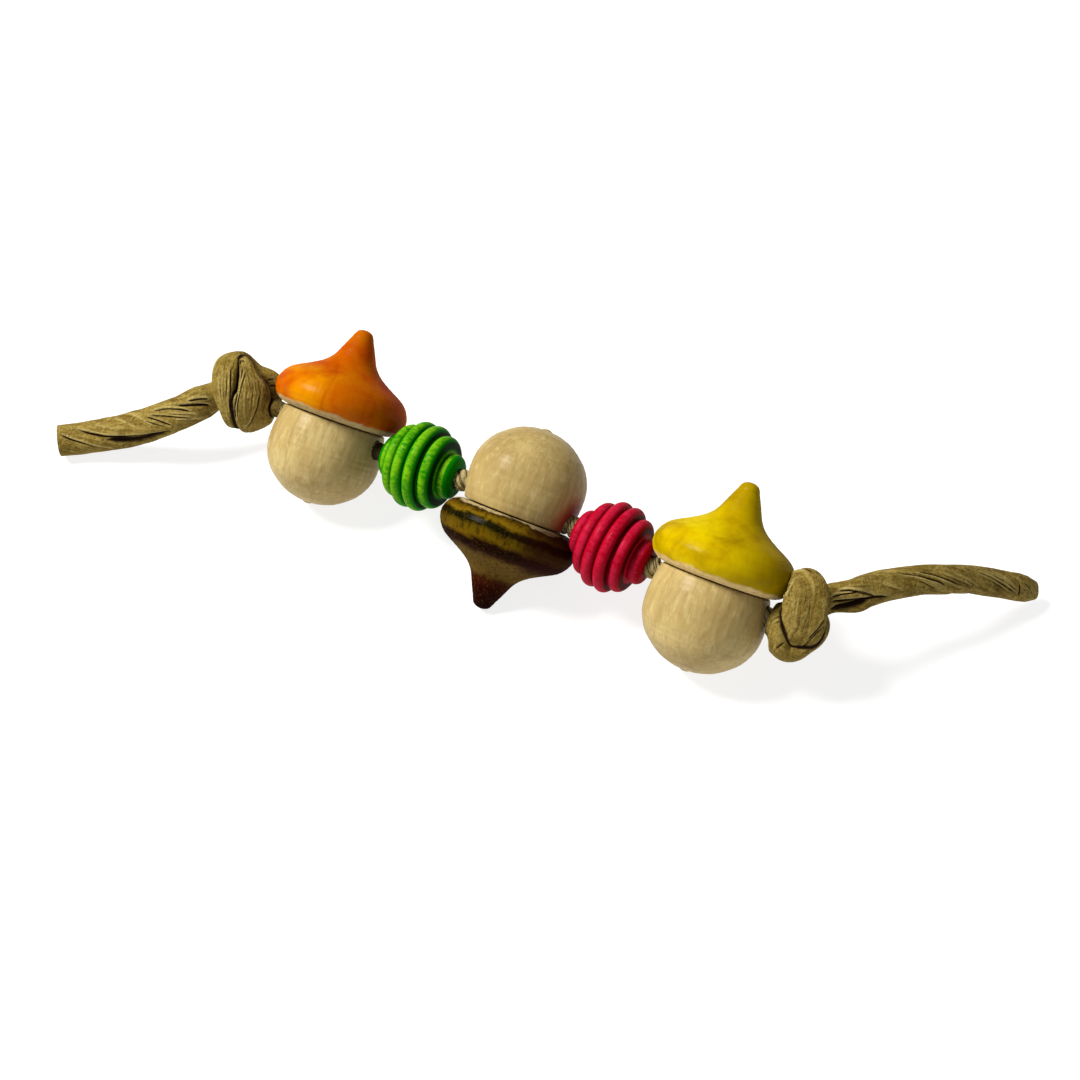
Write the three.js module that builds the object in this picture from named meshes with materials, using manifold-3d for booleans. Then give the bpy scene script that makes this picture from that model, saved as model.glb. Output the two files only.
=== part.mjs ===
// Foot toy for a parrot: turned wooden beads on one length of twisted paper rope, knotted at both ends.
// Millimetres, +Z up, standing surface at Z = 0, rope running along +X.
import * as THREE from 'three';
import { mergeVertices } from 'three/addons/utils/BufferGeometryUtils.js';
import Module from 'manifold-3d';

// ---------- driving dimensions (mm) ----------
const ACORN_SCALE = 1.006;            // turned size against the nominal profiles below
const BORE_R = 2.25;                  // rope hole through every bead
const ROPE_CORE_R = 1.82;             // paper rope squeezed inside the holes
const KNOT_STRAND_R = 2.8;            // paper rope in the knots
const KNOT_LAP = 0.4;                 // how far the swept pieces of a knot reach into each other
const TAIL_LEFT_R = 3.5;              // free tails: the rope opens up a little
const TAIL_RIGHT_R = 3.1;
const JOINT_GAP = 0.3;                // glue line between cap and nut
const BORE_BELOW_NUT_TOP = 2.75;      // rope hole centre under the top plane of the nut
const CAP_HEIGHT = 21.6;

// cap profile: distance from the tip, radius
const CAP_PROFILE = [[0, 0], [0.12, 0.85], [0.56, 1.71], [1.3, 2.2], [2.18, 2.57], [3.83, 3.38], [5.49, 4.13],
  [7.11, 4.92], [8.53, 6.0], [9.67, 7.36], [10.61, 8.85], [11.46, 10.39], [12.29, 11.97], [13.25, 13.48],
  [14.63, 14.72], [16.3, 15.52], [17.6, 15.72], [18.7, 15.55], [19.79, 15.05], [20.7, 14.25], [21.6, 12.4]];
// nut profile: distance below the top plane, radius
const NUT_PROFILE = [[0, 12.0], [1.76, 12.45], [3.56, 12.84], [5.36, 13.08], [7.18, 13.18], [9.0, 13.13],
  [10.8, 12.84], [12.5, 12.22], [14.1, 11.37], [15.55, 10.26], [16.78, 8.9], [17.88, 7.45], [18.8, 5.9],
  [19.4, 4.24], [19.85, 2.6]];        // ends in a small flat left by the lathe centre
// ringed beads
const RING_R = [5.2, 8.5, 10.0, 10.0, 8.5, 5.2];
const RING_PITCH = 2.95;
const RING_DIP = 1.0;
const BEAD_HALF = 8.85;
const BEAD_END_R = 3.5;

// where things sit: bore centre x (along the rope), y and z; tilt of the acorn axis out of the horizontal and its
// lean along the rope, in degrees. Acorns 1 and 3 rest on their nuts, acorn 2 on the tip and shoulder of its cap.
const ACORNS = [
  { name: 'acorn_1', x: -50.9, y: 0.0, z: 16.42, tilt: 45, lean: -2.0, tipUp: true, cap: 0xe87a12 },
  { name: 'acorn_2', x: 0.0, y: 0.8, z: 17.74, tilt: 42.75, lean: -1.6, tipUp: false, cap: 0x6d4a1f },
  { name: 'acorn_3', x: 48.35, y: 0.0, z: 16.42, tilt: 45, lean: -2.0, tipUp: true, cap: 0xd7a520 },
];
const BEADS = [
  { name: 'bead_green', x: -25.7, between: [0, 1], colour: 0x3fae2a },
  { name: 'bead_red', x: 24.13, between: [1, 2], colour: 0xc02a3c },
];
const HALF_NUT = 12.6;                // rope leaves each nut this far from its middle
const CORE_X0 = -64.6, CORE_X1 = 62.15;

// rope path beyond the beads (x, y, z), starting at the bead side
const LEFT_PATH = [[-64.95, 0, 16.42], [-65.4, 0, 16.42], [-65.9, 0, 16.42], [-67.3, 0.1, 16.3], [-69.5, 0.2, 16.1],
  [-71.8, 0.2, 15.7], [-74, -0.4, 15.2], [-75.6, -1.6, 14.3], [-76.1, -3.5, 13.1], [-75.7, -5.7, 12.9],
  [-75.7, -7, 14.7], [-76.4, -6.9, 16.8], [-77.4, -6.2, 18.8], [-78.5, -5.1, 20.6], [-79.5, -3.6, 22],
  [-80.3, -1.7, 23], [-80.9, 0.5, 23.3], [-80.9, 2.7, 23], [-80.2, 4.6, 21.9], [-78.9, 5.9, 20.5], [-77.1, 6.5, 19.2],
  [-75.2, 6.5, 18], [-73.6, 6, 16.4], [-72.8, 5, 14.5], [-72.6, 3.6, 12.6], [-72.5, 1.7, 11.4], [-72.2, -0.5, 11.1],
  [-71.6, -2.5, 12], [-71.1, -3.7, 13.8], [-71.1, -3.9, 16.1], [-71.6, -3.4, 18.3], [-72.5, -2.5, 20.2],
  [-73.6, -1.5, 22], [-75, -0.3, 23.3], [-76.7, 1.1, 23.8], [-78.3, 2.1, 22.6], [-79.3, 1.9, 20.5],
  [-80.3, 0.9, 18.7], [-81.4, -0.4, 17.2], [-82.6, -1.8, 15.8], [-83.8, -3.6, 14.9], [-85, -5.4, 14.3],
  [-86.5, -7.3, 13.6], [-88, -9.2, 12.8], [-89.7, -10.9, 12], [-91.5, -12.4, 11.1], [-93.4, -13.7, 10.2],
  [-95.4, -15, 9.2], [-97.5, -16.1, 8.4], [-99.6, -17.2, 7.5], [-101.8, -18.2, 6.7], [-104, -19.2, 5.9],
  [-106.1, -20.3, 5.2], [-108.3, -21.6, 4.7], [-110.3, -23, 4.2], [-112.3, -24.5, 4], [-114.3, -26.1, 3.9]];
const LEFT_KNOT_END = 40;             // index of the last point that belongs to the knot
const RIGHT_PATH = [[62.5, 0, 16.42], [62.95, 0, 16.42], [63.4, 0, 16.42], [64.8, 0.6, 16.3], [66.6, 2.1, 16.2],
  [68.8, 3.3, 16.2], [71, 3.4, 16], [72.7, 2.5, 15.3], [73.3, 0.6, 14.3], [72.2, -1, 13.4], [70.3, -1.9, 12.9],
  [68.4, -2.3, 13.3], [66.9, -2.2, 14.8], [65.9, -1.4, 16.7], [65.8, 0, 18.5], [66.5, 1.6, 20], [67.1, 3.1, 21.4],
  [67.3, 4.6, 22.9], [67.8, 5.4, 24.4], [69, 5, 25.1], [70.1, 3.5, 24.5], [70.4, 1.9, 23.1], [70.8, 0.4, 21.2],
  [70.9, -0.8, 19], [70.6, -1.2, 16.8], [69.9, -0.5, 14.7], [69.1, 1.2, 13.4], [68.5, 3.5, 13.2], [68.2, 5.7, 13.9],
  [68.4, 7.6, 15.3], [69.5, 9.1, 16.8], [71.2, 10.3, 18], [73.4, 11.1, 18.9], [75.4, 12.2, 19.4], [76.2, 14.2, 19],
  [77.4, 16.4, 18.5], [78.7, 18.5, 18.1], [80.2, 20.5, 17.7], [81.8, 22.4, 17.4], [83.4, 24.3, 17.1],
  [85, 26.2, 16.7], [86.6, 28, 16.1], [88.2, 29.8, 15.4], [89.7, 31.7, 14.6], [91.2, 33.5, 13.7], [92.7, 35.3, 12.7],
  [94.1, 37, 11.7], [95.6, 38.7, 10.6], [97.1, 40.4, 9.4], [98.6, 42, 8.3], [100.2, 43.6, 7.1], [101.7, 45.3, 6],
  [103.3, 46.9, 4.9], [105, 48.5, 3.9]];
const RIGHT_KNOT_END = 32;

// from the working frame to the frame of the part: the middle of the footprint (tails left out) becomes 0, 0
const ORIGIN = [-5.22, 0.093, 0.001];

// ---------- helpers ----------
const wasm = await Module();
wasm.setup();
const V = (p) => new THREE.Vector3(p[0], p[1], p[2]);

function toManifold(geometry) {
  let g = geometry.clone();
  g.deleteAttribute('normal');
  g.deleteAttribute('uv');
  g = mergeVertices(g, 1e-4);
  return new wasm.Manifold(new wasm.Mesh({
    numProp: 3,
    vertProperties: new Float32Array(g.attributes.position.array),
    triVerts: new Uint32Array(g.index.array),
  }));
}

function fromManifold(m) {
  const q = m.getMesh();
  const g = new THREE.BufferGeometry();
  const pos = new Float32Array(q.numVert * 3);
  for (let i = 0; i < q.numVert; i++) for (let k = 0; k < 3; k++) pos[3 * i + k] = q.vertProperties[i * q.numProp + k];
  g.setAttribute('position', new THREE.BufferAttribute(pos, 3));
  g.setIndex(Array.from(q.triVerts));
  g.computeVertexNormals();
  return g;
}

function lathe(profile, segments) {
  // profile: [radius, height] from bottom to top
  return new THREE.LatheGeometry(profile.map((p) => new THREE.Vector2(p[0], p[1])), segments);
}

function tube(points, radius, sides, steps, turn = 0) {
  const shape = new THREE.Shape();
  for (let i = 0; i < sides; i++) {
    const a = turn + (2 * Math.PI * i) / sides;
    if (i === 0) shape.moveTo(radius * Math.cos(a), radius * Math.sin(a));
    else shape.lineTo(radius * Math.cos(a), radius * Math.sin(a));
  }
  shape.closePath();
  return new THREE.ExtrudeGeometry(shape, {
    steps, bevelEnabled: false, extrudePath: new THREE.CatmullRomCurve3(points.map(V), false, 'centripetal'),
  });
}

const group = new THREE.Group();
group.name = 'bird_foot_toy';
function add(name, geometry, colour, roughness) {
  const mesh = new THREE.Mesh(geometry, new THREE.MeshStandardMaterial({ color: colour, roughness, metalness: 0 }));
  mesh.name = name;
  geometry.translate(-ORIGIN[0], -ORIGIN[1], -ORIGIN[2]);
  group.add(mesh);
}

// ---------- acorns ----------
const k = ACORN_SCALE;
const nutTop = BORE_BELOW_NUT_TOP * k;
const capBottom = nutTop + JOINT_GAP;
for (const a of ACORNS) {
  const lean = THREE.MathUtils.degToRad(a.lean);
  const m = new THREE.Matrix4().makeTranslation(a.x, a.y, a.z)
    .multiply(new THREE.Matrix4().makeRotationX(THREE.MathUtils.degToRad(a.tipUp ? a.tilt : a.tilt + 180)))
    .multiply(new THREE.Matrix4().makeRotationZ(a.tipUp ? -lean : lean));
  const cap = lathe([[0, capBottom], ...CAP_PROFILE.slice().reverse().map(([s, r]) => [r * k, capBottom + (CAP_HEIGHT - s) * k])], 24);
  cap.applyMatrix4(m);
  add(`${a.name}_cap`, fromManifold(toManifold(cap)), a.cap, 0.4);

  const nut = lathe([[0, nutTop - 19.85 * k], ...NUT_PROFILE.slice().reverse().map(([s, r]) => [r * k, nutTop - s * k]), [0, nutTop]], 24);
  nut.applyMatrix4(m);
  const bore = new THREE.CylinderGeometry(BORE_R, BORE_R, 40, 16, 1);
  bore.rotateZ(Math.PI / 2);
  bore.translate(a.x, a.y, a.z);
  add(`${a.name}_nut`, fromManifold(toManifold(nut).subtract(toManifold(bore))), 0xe3c99a, 0.5);
}

// ---------- ringed beads ----------
function beadProfile() {
  const p = [[BORE_R, -BEAD_HALF], [BEAD_END_R, -BEAD_HALF]];
  for (let i = 0; i < 6; i++) {
    const c = (i - 2.5) * RING_PITCH;
    // the outer flank of the first and the last ring is rounded off more
    p.push([RING_R[i] - (i === 0 ? 0.75 : 0.32) * RING_DIP, c - (i === 0 ? 0.75 : 0.9)], [RING_R[i], c],
      [RING_R[i] - (i === 5 ? 0.75 : 0.32) * RING_DIP, c + (i === 5 ? 0.75 : 0.9)]);
    if (i < 5) p.push([Math.min(RING_R[i], RING_R[i + 1]) - RING_DIP * (RING_R[i] === RING_R[i + 1] ? 1 : 0.55), c + RING_PITCH / 2]);
  }
  p.push([BEAD_END_R, BEAD_HALF], [BORE_R, BEAD_HALF], [BORE_R, -BEAD_HALF]);
  return p;
}
for (const b of BEADS) {
  const [i, j] = b.between;
  const p0 = V([ACORNS[i].x + HALF_NUT, ACORNS[i].y, ACORNS[i].z]);
  const p1 = V([ACORNS[j].x - HALF_NUT, ACORNS[j].y, ACORNS[j].z]);
  const dir = p1.clone().sub(p0).normalize();
  const g = lathe(beadProfile(), 20);
  g.applyQuaternion(new THREE.Quaternion().setFromUnitVectors(new THREE.Vector3(0, 1, 0), dir));
  const c = p0.clone().addScaledVector(dir, (b.x - p0.x) / dir.x);
  g.translate(c.x, c.y, c.z);
  add(b.name, fromManifold(toManifold(g)), b.colour, 0.5);
}

// ---------- rope ----------
const corePath = new THREE.CurvePath();
const corePoints = [[CORE_X0, ACORNS[0].y, ACORNS[0].z]];
for (let i = 0; i < ACORNS.length; i++) {
  if (i > 0) corePoints.push([ACORNS[i].x - HALF_NUT, ACORNS[i].y, ACORNS[i].z]);
  if (i < ACORNS.length - 1) corePoints.push([ACORNS[i].x + HALF_NUT, ACORNS[i].y, ACORNS[i].z]);
}
corePoints.push([CORE_X1, ACORNS[2].y, ACORNS[2].z]);
for (let i = 1; i < corePoints.length; i++) corePath.add(new THREE.LineCurve3(V(corePoints[i - 1]), V(corePoints[i])));
const coreShape = new THREE.Shape();
for (let i = 0; i < 12; i++) {
  const a = (2 * Math.PI * i) / 12;
  if (i === 0) coreShape.moveTo(ROPE_CORE_R, 0);
  else coreShape.lineTo(ROPE_CORE_R * Math.cos(a), ROPE_CORE_R * Math.sin(a));
}
coreShape.closePath();
const PAPER = 0x9c8552;
add('rope_core', fromManifold(toManifold(new THREE.ExtrudeGeometry(coreShape, { steps: 26, bevelEnabled: false, extrudePath: corePath }))), PAPER, 0.8);

function along(path, i, distance) {
  // the point that lies this far past point i, on a straight line
  const a = V(path[i]), d = V(path[i + 1]).sub(V(path[i - 1])).normalize();
  return a.addScaledVector(d, distance).toArray();
}
function knot(path, last) {
  // the knot as a union of short swept pieces, so that no piece meets itself; each reaches a little into the next
  const cuts = [2];
  while (cuts[cuts.length - 1] < last) cuts.push(Math.min(last, cuts[cuts.length - 1] + 6));
  if (cuts[cuts.length - 1] - cuts[cuts.length - 2] < 3) cuts.splice(cuts.length - 2, 1);
  let body = toManifold(tube([...path.slice(0, 3), path[3]], ROPE_CORE_R, 10, 2));
  for (let c = 1; c < cuts.length; c++) {
    const i = cuts[c - 1], j = cuts[c];
    const p = path.slice(i, j + 1).map((q) => q.slice());
    if (c > 1) p.unshift(along(path, i, -KNOT_LAP));
    if (j < last) p.push(along(path, j, KNOT_LAP)); else p.push(along(path, j, 0.3), along(path, j, 0.6));
    body = body.add(toManifold(tube(p, KNOT_STRAND_R, 10, Math.round((j - i) * 0.9) + 1, 0.17 * c)));
  }
  // the outer skin only: a closed pocket between the wraps is filled
  return body.decompose().sort((a, b) => b.volume() - a.volume())[0].simplify(0.03);
}
function tail(path, last, radius, steps) {
  const p = [along(path, last, 0.95), along(path, last, 1.4), along(path, last, 1.9), ...path.slice(last + 2)];
  return toManifold(tube(p, radius, 10, steps));
}
add('knot_left', fromManifold(knot(LEFT_PATH, LEFT_KNOT_END)), PAPER, 0.8);
add('knot_right', fromManifold(knot(RIGHT_PATH, RIGHT_KNOT_END)), PAPER, 0.8);
add('rope_tail_left', fromManifold(tail(LEFT_PATH, LEFT_KNOT_END, TAIL_LEFT_R, 14)), PAPER, 0.8);
add('rope_tail_right', fromManifold(tail(RIGHT_PATH, RIGHT_KNOT_END, TAIL_RIGHT_R, 18)), PAPER, 0.8);

export default group;
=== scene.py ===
import math

import bpy
import numpy as np
from mathutils import Matrix, Vector


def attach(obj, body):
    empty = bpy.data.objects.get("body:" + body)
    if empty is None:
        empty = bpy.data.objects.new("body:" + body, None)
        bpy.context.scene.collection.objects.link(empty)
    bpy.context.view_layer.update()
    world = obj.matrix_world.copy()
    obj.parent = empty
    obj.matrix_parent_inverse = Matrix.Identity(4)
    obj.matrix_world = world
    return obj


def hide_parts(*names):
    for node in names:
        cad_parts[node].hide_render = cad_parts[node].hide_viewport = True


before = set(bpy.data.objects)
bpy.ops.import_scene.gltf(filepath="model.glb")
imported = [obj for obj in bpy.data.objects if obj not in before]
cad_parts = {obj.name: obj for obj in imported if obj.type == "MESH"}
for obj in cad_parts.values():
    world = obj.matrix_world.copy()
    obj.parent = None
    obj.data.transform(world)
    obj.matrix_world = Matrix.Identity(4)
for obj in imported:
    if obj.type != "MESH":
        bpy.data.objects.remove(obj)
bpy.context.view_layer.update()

# ---------------------------------------------------------------- frame
# Working frame: x along the rope from the middle acorn, floor at z = 0, millimetres.
# ORIGIN takes it to the part's own frame.
ORIGIN = np.array([-5.22, 0.093, 0.001])


def row(p):
    """working frame, mm -> the part's frame, m"""
    return (np.asarray(p, float) - ORIGIN) / 1000.0


# ---------------------------------------------------------------- camera
AZ, EL, ROLL = math.radians(30.74), math.radians(45.53), math.radians(0.22)
DIST, FOCAL = 388.2, 1692.8          # mm, and pixels of a 1080 pixel wide picture
PAN_X, PAN_Y = 4.97, 4.94            # mm
back = np.array([math.sin(AZ) * math.cos(EL), -math.cos(AZ) * math.cos(EL), math.sin(EL)])
r0 = np.array([math.cos(AZ), math.sin(AZ), 0.0])
u0 = np.cross(back, r0)
right = r0 * math.cos(ROLL) + u0 * math.sin(ROLL)
up = -r0 * math.sin(ROLL) + u0 * math.cos(ROLL)
eye = back * DIST + r0 * PAN_X + u0 * PAN_Y
cam_data = bpy.data.cameras.new("camera")
cam_data.sensor_width = 36.0
cam_data.sensor_fit = "HORIZONTAL"
cam_data.lens = FOCAL / 1080.0 * 36.0
cam_data.clip_start = 0.01
cam_data.clip_end = 20.0
camera = bpy.data.objects.new("camera", cam_data)
bpy.context.scene.collection.objects.link(camera)
m = Matrix.Identity(4)
e = row(eye)
for i in range(3):
    m[i][0], m[i][1], m[i][2], m[i][3] = right[i], up[i], back[i], e[i]
camera.matrix_world = m
bpy.context.scene.camera = camera

# ---------------------------------------------------------------- mesh helpers
RNG = np.random.default_rng(11)


def wobble(s, scale, seed, n=5):
    """smooth pseudo random line about 0, roughly -1..1, with features about scale long"""
    g = np.random.default_rng(seed)
    out = np.zeros_like(np.asarray(s, float))
    norm = 0.0
    for k in range(n):
        f = (0.5 + 1.6 * g.random()) / scale
        a = 0.5 + g.random()
        out = out + a * np.sin(2 * np.pi * (f * np.asarray(s, float) * 0.5 + g.random()))
        norm += a
    return out / norm * 1.9


def smoothstep(x, a, b):
    t = np.clip((np.asarray(x, float) - a) / (b - a), 0, 1)
    return t * t * (3 - 2 * t)


def make_mesh(name, verts_m, faces, floats=None, smooth=True):
    """verts in metres; faces an (n, 4) array of quads or a list of lists"""
    me = bpy.data.meshes.new(name)
    verts_m = np.asarray(verts_m, np.float64)
    me.vertices.add(len(verts_m))
    me.vertices.foreach_set("co", verts_m.astype(np.float32).ravel())
    lens = np.array([len(f) for f in faces], np.int32)
    flat = np.concatenate([np.asarray(f, np.int32) for f in faces]) if len(faces) else np.zeros(0, np.int32)
    me.loops.add(len(flat))
    me.loops.foreach_set("vertex_index", flat)
    me.polygons.add(len(lens))
    me.polygons.foreach_set("loop_start", np.concatenate([[0], np.cumsum(lens)[:-1]]).astype(np.int32))
    me.update(calc_edges=True)
    me.polygons.foreach_set("use_smooth", np.full(len(lens), smooth))
    for key, values in (floats or {}).items():
        a = me.attributes.new(key, "FLOAT", "POINT")
        a.data.foreach_set("value", np.asarray(values, np.float32))
    me.validate()
    me.update()
    ob = bpy.data.objects.new(name, me)
    bpy.context.scene.collection.objects.link(ob)
    return ob


def grid_faces(n, k):
    """quads of n rings with k points each, closed around"""
    i = np.arange(n - 1)[:, None] * k
    j = np.arange(k)[None, :]
    jn = (j + 1) % k
    return np.stack([i + j, i + jn, i + k + jn, i + k + j], -1).reshape(-1, 4)


# ---------------------------------------------------------------- the rope's line
LEFT_PATH = [[-64.95, 0, 16.42], [-65.4, 0, 16.42], [-65.9, 0, 16.42], [-67.3, 0.1, 16.3], [-69.5, 0.2, 16.1],
             [-71.8, 0.2, 15.7], [-74, -0.4, 15.2], [-75.6, -1.6, 14.3], [-76.1, -3.5, 13.1], [-75.7, -5.7, 12.9],
             [-75.7, -7, 14.7], [-76.4, -6.9, 16.8], [-77.4, -6.2, 18.8], [-78.5, -5.1, 20.6], [-79.5, -3.6, 22],
             [-80.3, -1.7, 23], [-80.9, 0.5, 23.3], [-80.9, 2.7, 23], [-80.2, 4.6, 21.9], [-78.9, 5.9, 20.5],
             [-77.1, 6.5, 19.2], [-75.2, 6.5, 18], [-73.6, 6, 16.4], [-72.8, 5, 14.5], [-72.6, 3.6, 12.6],
             [-72.5, 1.7, 11.4], [-72.2, -0.5, 11.1], [-71.6, -2.5, 12], [-71.1, -3.7, 13.8], [-71.1, -3.9, 16.1],
             [-71.6, -3.4, 18.3], [-72.5, -2.5, 20.2], [-73.6, -1.5, 22], [-75, -0.3, 23.3], [-76.7, 1.1, 23.8],
             [-78.3, 2.1, 22.6], [-79.3, 1.9, 20.5], [-80.3, 0.9, 18.7], [-81.4, -0.4, 17.2], [-82.6, -1.8, 15.8],
             [-83.8, -3.6, 14.9], [-85, -5.4, 14.3], [-86.5, -7.3, 13.6], [-88, -9.2, 12.8], [-89.7, -10.9, 12],
             [-91.5, -12.4, 11.1], [-93.4, -13.7, 10.2], [-95.4, -15, 9.2], [-97.5, -16.1, 8.4], [-99.6, -17.2, 7.5],
             [-101.8, -18.2, 6.7], [-104, -19.2, 5.9], [-106.1, -20.3, 5.2], [-108.3, -21.6, 4.7], [-110.3, -23, 4.2],
             [-112.3, -24.5, 4], [-114.3, -26.1, 3.9]]
LEFT_END = 40
RIGHT_PATH = [[62.5, 0, 16.42], [62.95, 0, 16.42], [63.4, 0, 16.42], [64.8, 0.6, 16.3], [66.6, 2.1, 16.2],
              [68.8, 3.3, 16.2], [71, 3.4, 16], [72.7, 2.5, 15.3], [73.3, 0.6, 14.3], [72.2, -1, 13.4],
              [70.3, -1.9, 12.9], [68.4, -2.3, 13.3], [66.9, -2.2, 14.8], [65.9, -1.4, 16.7], [65.8, 0, 18.5],
              [66.5, 1.6, 20], [67.1, 3.1, 21.4], [67.3, 4.6, 22.9], [67.8, 5.4, 24.4], [69, 5, 25.1],
              [70.1, 3.5, 24.5], [70.4, 1.9, 23.1], [70.8, 0.4, 21.2], [70.9, -0.8, 19], [70.6, -1.2, 16.8],
              [69.9, -0.5, 14.7], [69.1, 1.2, 13.4], [68.5, 3.5, 13.2], [68.2, 5.7, 13.9], [68.4, 7.6, 15.3],
              [69.5, 9.1, 16.8], [71.2, 10.3, 18], [73.4, 11.1, 18.9], [75.4, 12.2, 19.4], [76.2, 14.2, 19],
              [77.4, 16.4, 18.5], [78.7, 18.5, 18.1], [80.2, 20.5, 17.7], [81.8, 22.4, 17.4], [83.4, 24.3, 17.1],
              [85, 26.2, 16.7], [86.6, 28, 16.1], [88.2, 29.8, 15.4], [89.7, 31.7, 14.6], [91.2, 33.5, 13.7],
              [92.7, 35.3, 12.7], [94.1, 37, 11.7], [95.6, 38.7, 10.6], [97.1, 40.4, 9.4], [98.6, 42, 8.3],
              [100.2, 43.6, 7.1], [101.7, 45.3, 6], [103.3, 46.9, 4.9], [105, 48.5, 3.9]]
RIGHT_END = 32
CORE = [[-38.3, 0, 16.42], [-12.6, 0.8, 17.74], [12.6, 0.8, 17.74], [35.75, 0, 16.42]]


def spline(points, step):
    """Catmull-Rom through points (centripetal), resampled every step mm; also the running index of each sample"""
    p = np.asarray(points, float)
    p = np.vstack([2 * p[0] - p[1], p, 2 * p[-1] - p[-2]])
    out, idx = [], []
    for i in range(1, len(p) - 2):
        a, b, c, d = p[i - 1], p[i], p[i + 1], p[i + 2]
        t0 = 0.0
        t1 = t0 + max(np.linalg.norm(b - a), 1e-6) ** 0.5
        t2 = t1 + max(np.linalg.norm(c - b), 1e-6) ** 0.5
        t3 = t2 + max(np.linalg.norm(d - c), 1e-6) ** 0.5
        t = np.linspace(t1, t2, 24, endpoint=False)[:, None]
        a1 = (t1 - t) / (t1 - t0) * a + (t - t0) / (t1 - t0) * b
        a2 = (t2 - t) / (t2 - t1) * b + (t - t1) / (t2 - t1) * c
        a3 = (t3 - t) / (t3 - t2) * c + (t - t2) / (t3 - t2) * d
        b1 = (t2 - t) / (t2 - t0) * a1 + (t - t0) / (t2 - t0) * a2
        b2 = (t3 - t) / (t3 - t1) * a2 + (t - t1) / (t3 - t1) * a3
        out.append((t2 - t) / (t2 - t1) * b1 + (t - t1) / (t2 - t1) * b2)
        idx.append(i - 1 + np.linspace(0, 1, 24, endpoint=False))
    out.append(p[-2][None]); idx.append(np.array([len(p) - 3.0]))
    q, ix = np.vstack(out), np.concatenate(idx)
    s = np.concatenate([[0], np.cumsum(np.linalg.norm(np.diff(q, axis=0), axis=1))])
    n = int(round(s[-1] / step))
    t = np.linspace(0, s[-1], n + 1)
    return np.stack([np.interp(t, s, q[:, k]) for k in range(3)], 1), np.interp(t, s, ix), t


STEP = 0.25
# the pressed paper bands lie a little off the middle of the round strand: shift of a control point in the
# picture's plane, (right, down), mm
LEFT_SHIFT = {8: (0.5, -0.5), 9: (0.7, 0), 10: (0.7, -0.2), 11: (0.7, -0.5), 12: (0.7, -0.2), 13: (0.8, 0), 14: (0.95, 0),
              15: (0.95, 0), 16: (0.5, -0.2), 17: (0.2, 0), 18: (-0.2, 0), 19: (-0.2, 1.0), 20: (-0.2, 1.4), 21: (0.3, 0.6), 22: (0.8, -0.5), 23: (0.8, -0.6),
              30: (0.2, 0), 31: (0.95, 0), 32: (0.95, 0), 33: (0.8, 0), 34: (0.5, -0.5), 35: (0.2, -0.5)}
RIGHT_SHIFT = {6: (-0.4, -0.6), 7: (-1.0, -1.2), 8: (-1.2, -1.4), 9: (-1.4, -1.0), 10: (-1.2, 0.2), 11: (-1.6, 1.0),
               12: (-2.0, 1.0), 13: (-1.8, 0.6), 14: (-1.8, 0.2), 15: (-1.8, -0.2), 16: (-2.4, -0.4), 17: (-2.7, -0.4),
               18: (-2.9, 0.0), 19: (-2.8, -0.3), 20: (-2.4, -0.6), 21: (-2.0, -0.4), 22: (-1.6, -0.4), 23: (-1.2, -0.2),
               24: (-1.4, 0), 25: (-1.0, 0.2), 26: (-0.4, 0)}


def shifted(path, shift):
    out = []
    for i, q in enumerate(path):
        dx, dy = shift.get(i, (0, 0))
        out.append((np.asarray(q, float) + right * dx - up * dy).tolist())
    return out


LP = shifted(LEFT_PATH, LEFT_SHIFT)[::-1]
RP = shifted(RIGHT_PATH, RIGHT_SHIFT)
WHOLE = LP + CORE + RP
nl, nc = len(LP), len(CORE)
P, INDEX, S = spline(WHOLE, STEP)
# light smoothing of the line, so that the strands bend evenly
for _ in range(10):
    P[1:-1] += 0.5 * ((P[:-2] + P[2:]) / 2 - P[1:-1])
T = np.gradient(P, axis=0)
T /= np.linalg.norm(T, axis=1)[:, None]
# rotation minimising frame along the line
R0 = np.zeros_like(P)
ref = np.cross(T[0], [0, 0, 1.0])
R0[0] = ref / np.linalg.norm(ref)
for i in range(1, len(P)):
    v1 = P[i] - P[i - 1]
    c1 = v1 @ v1
    rl = R0[i - 1] - (2 / c1) * (v1 @ R0[i - 1]) * v1
    tl = T[i - 1] - (2 / c1) * (v1 @ T[i - 1]) * v1
    v2 = T[i] - tl
    c2 = max(v2 @ v2, 1e-12)
    R0[i] = rl - (2 / c2) * (v2 @ rl) * v2
    R0[i] -= (R0[i] @ T[i]) * T[i]
    R0[i] /= np.linalg.norm(R0[i])
S0 = np.cross(T, R0)

# index of the control points in WHOLE: left path point i -> nl-1-i, right path point i -> nl+nc+i
iL = lambda i: nl - 1 - i
iR = lambda i: nl + nc + i
KL = np.array([-76.6, 0.2, 17.2])
KR = np.array([68.4, 2.4, 18.0])


def table(rows):
    rows = sorted(rows)
    return np.interp(INDEX, [r[0] for r in rows], [r[1] for r in rows])


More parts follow.
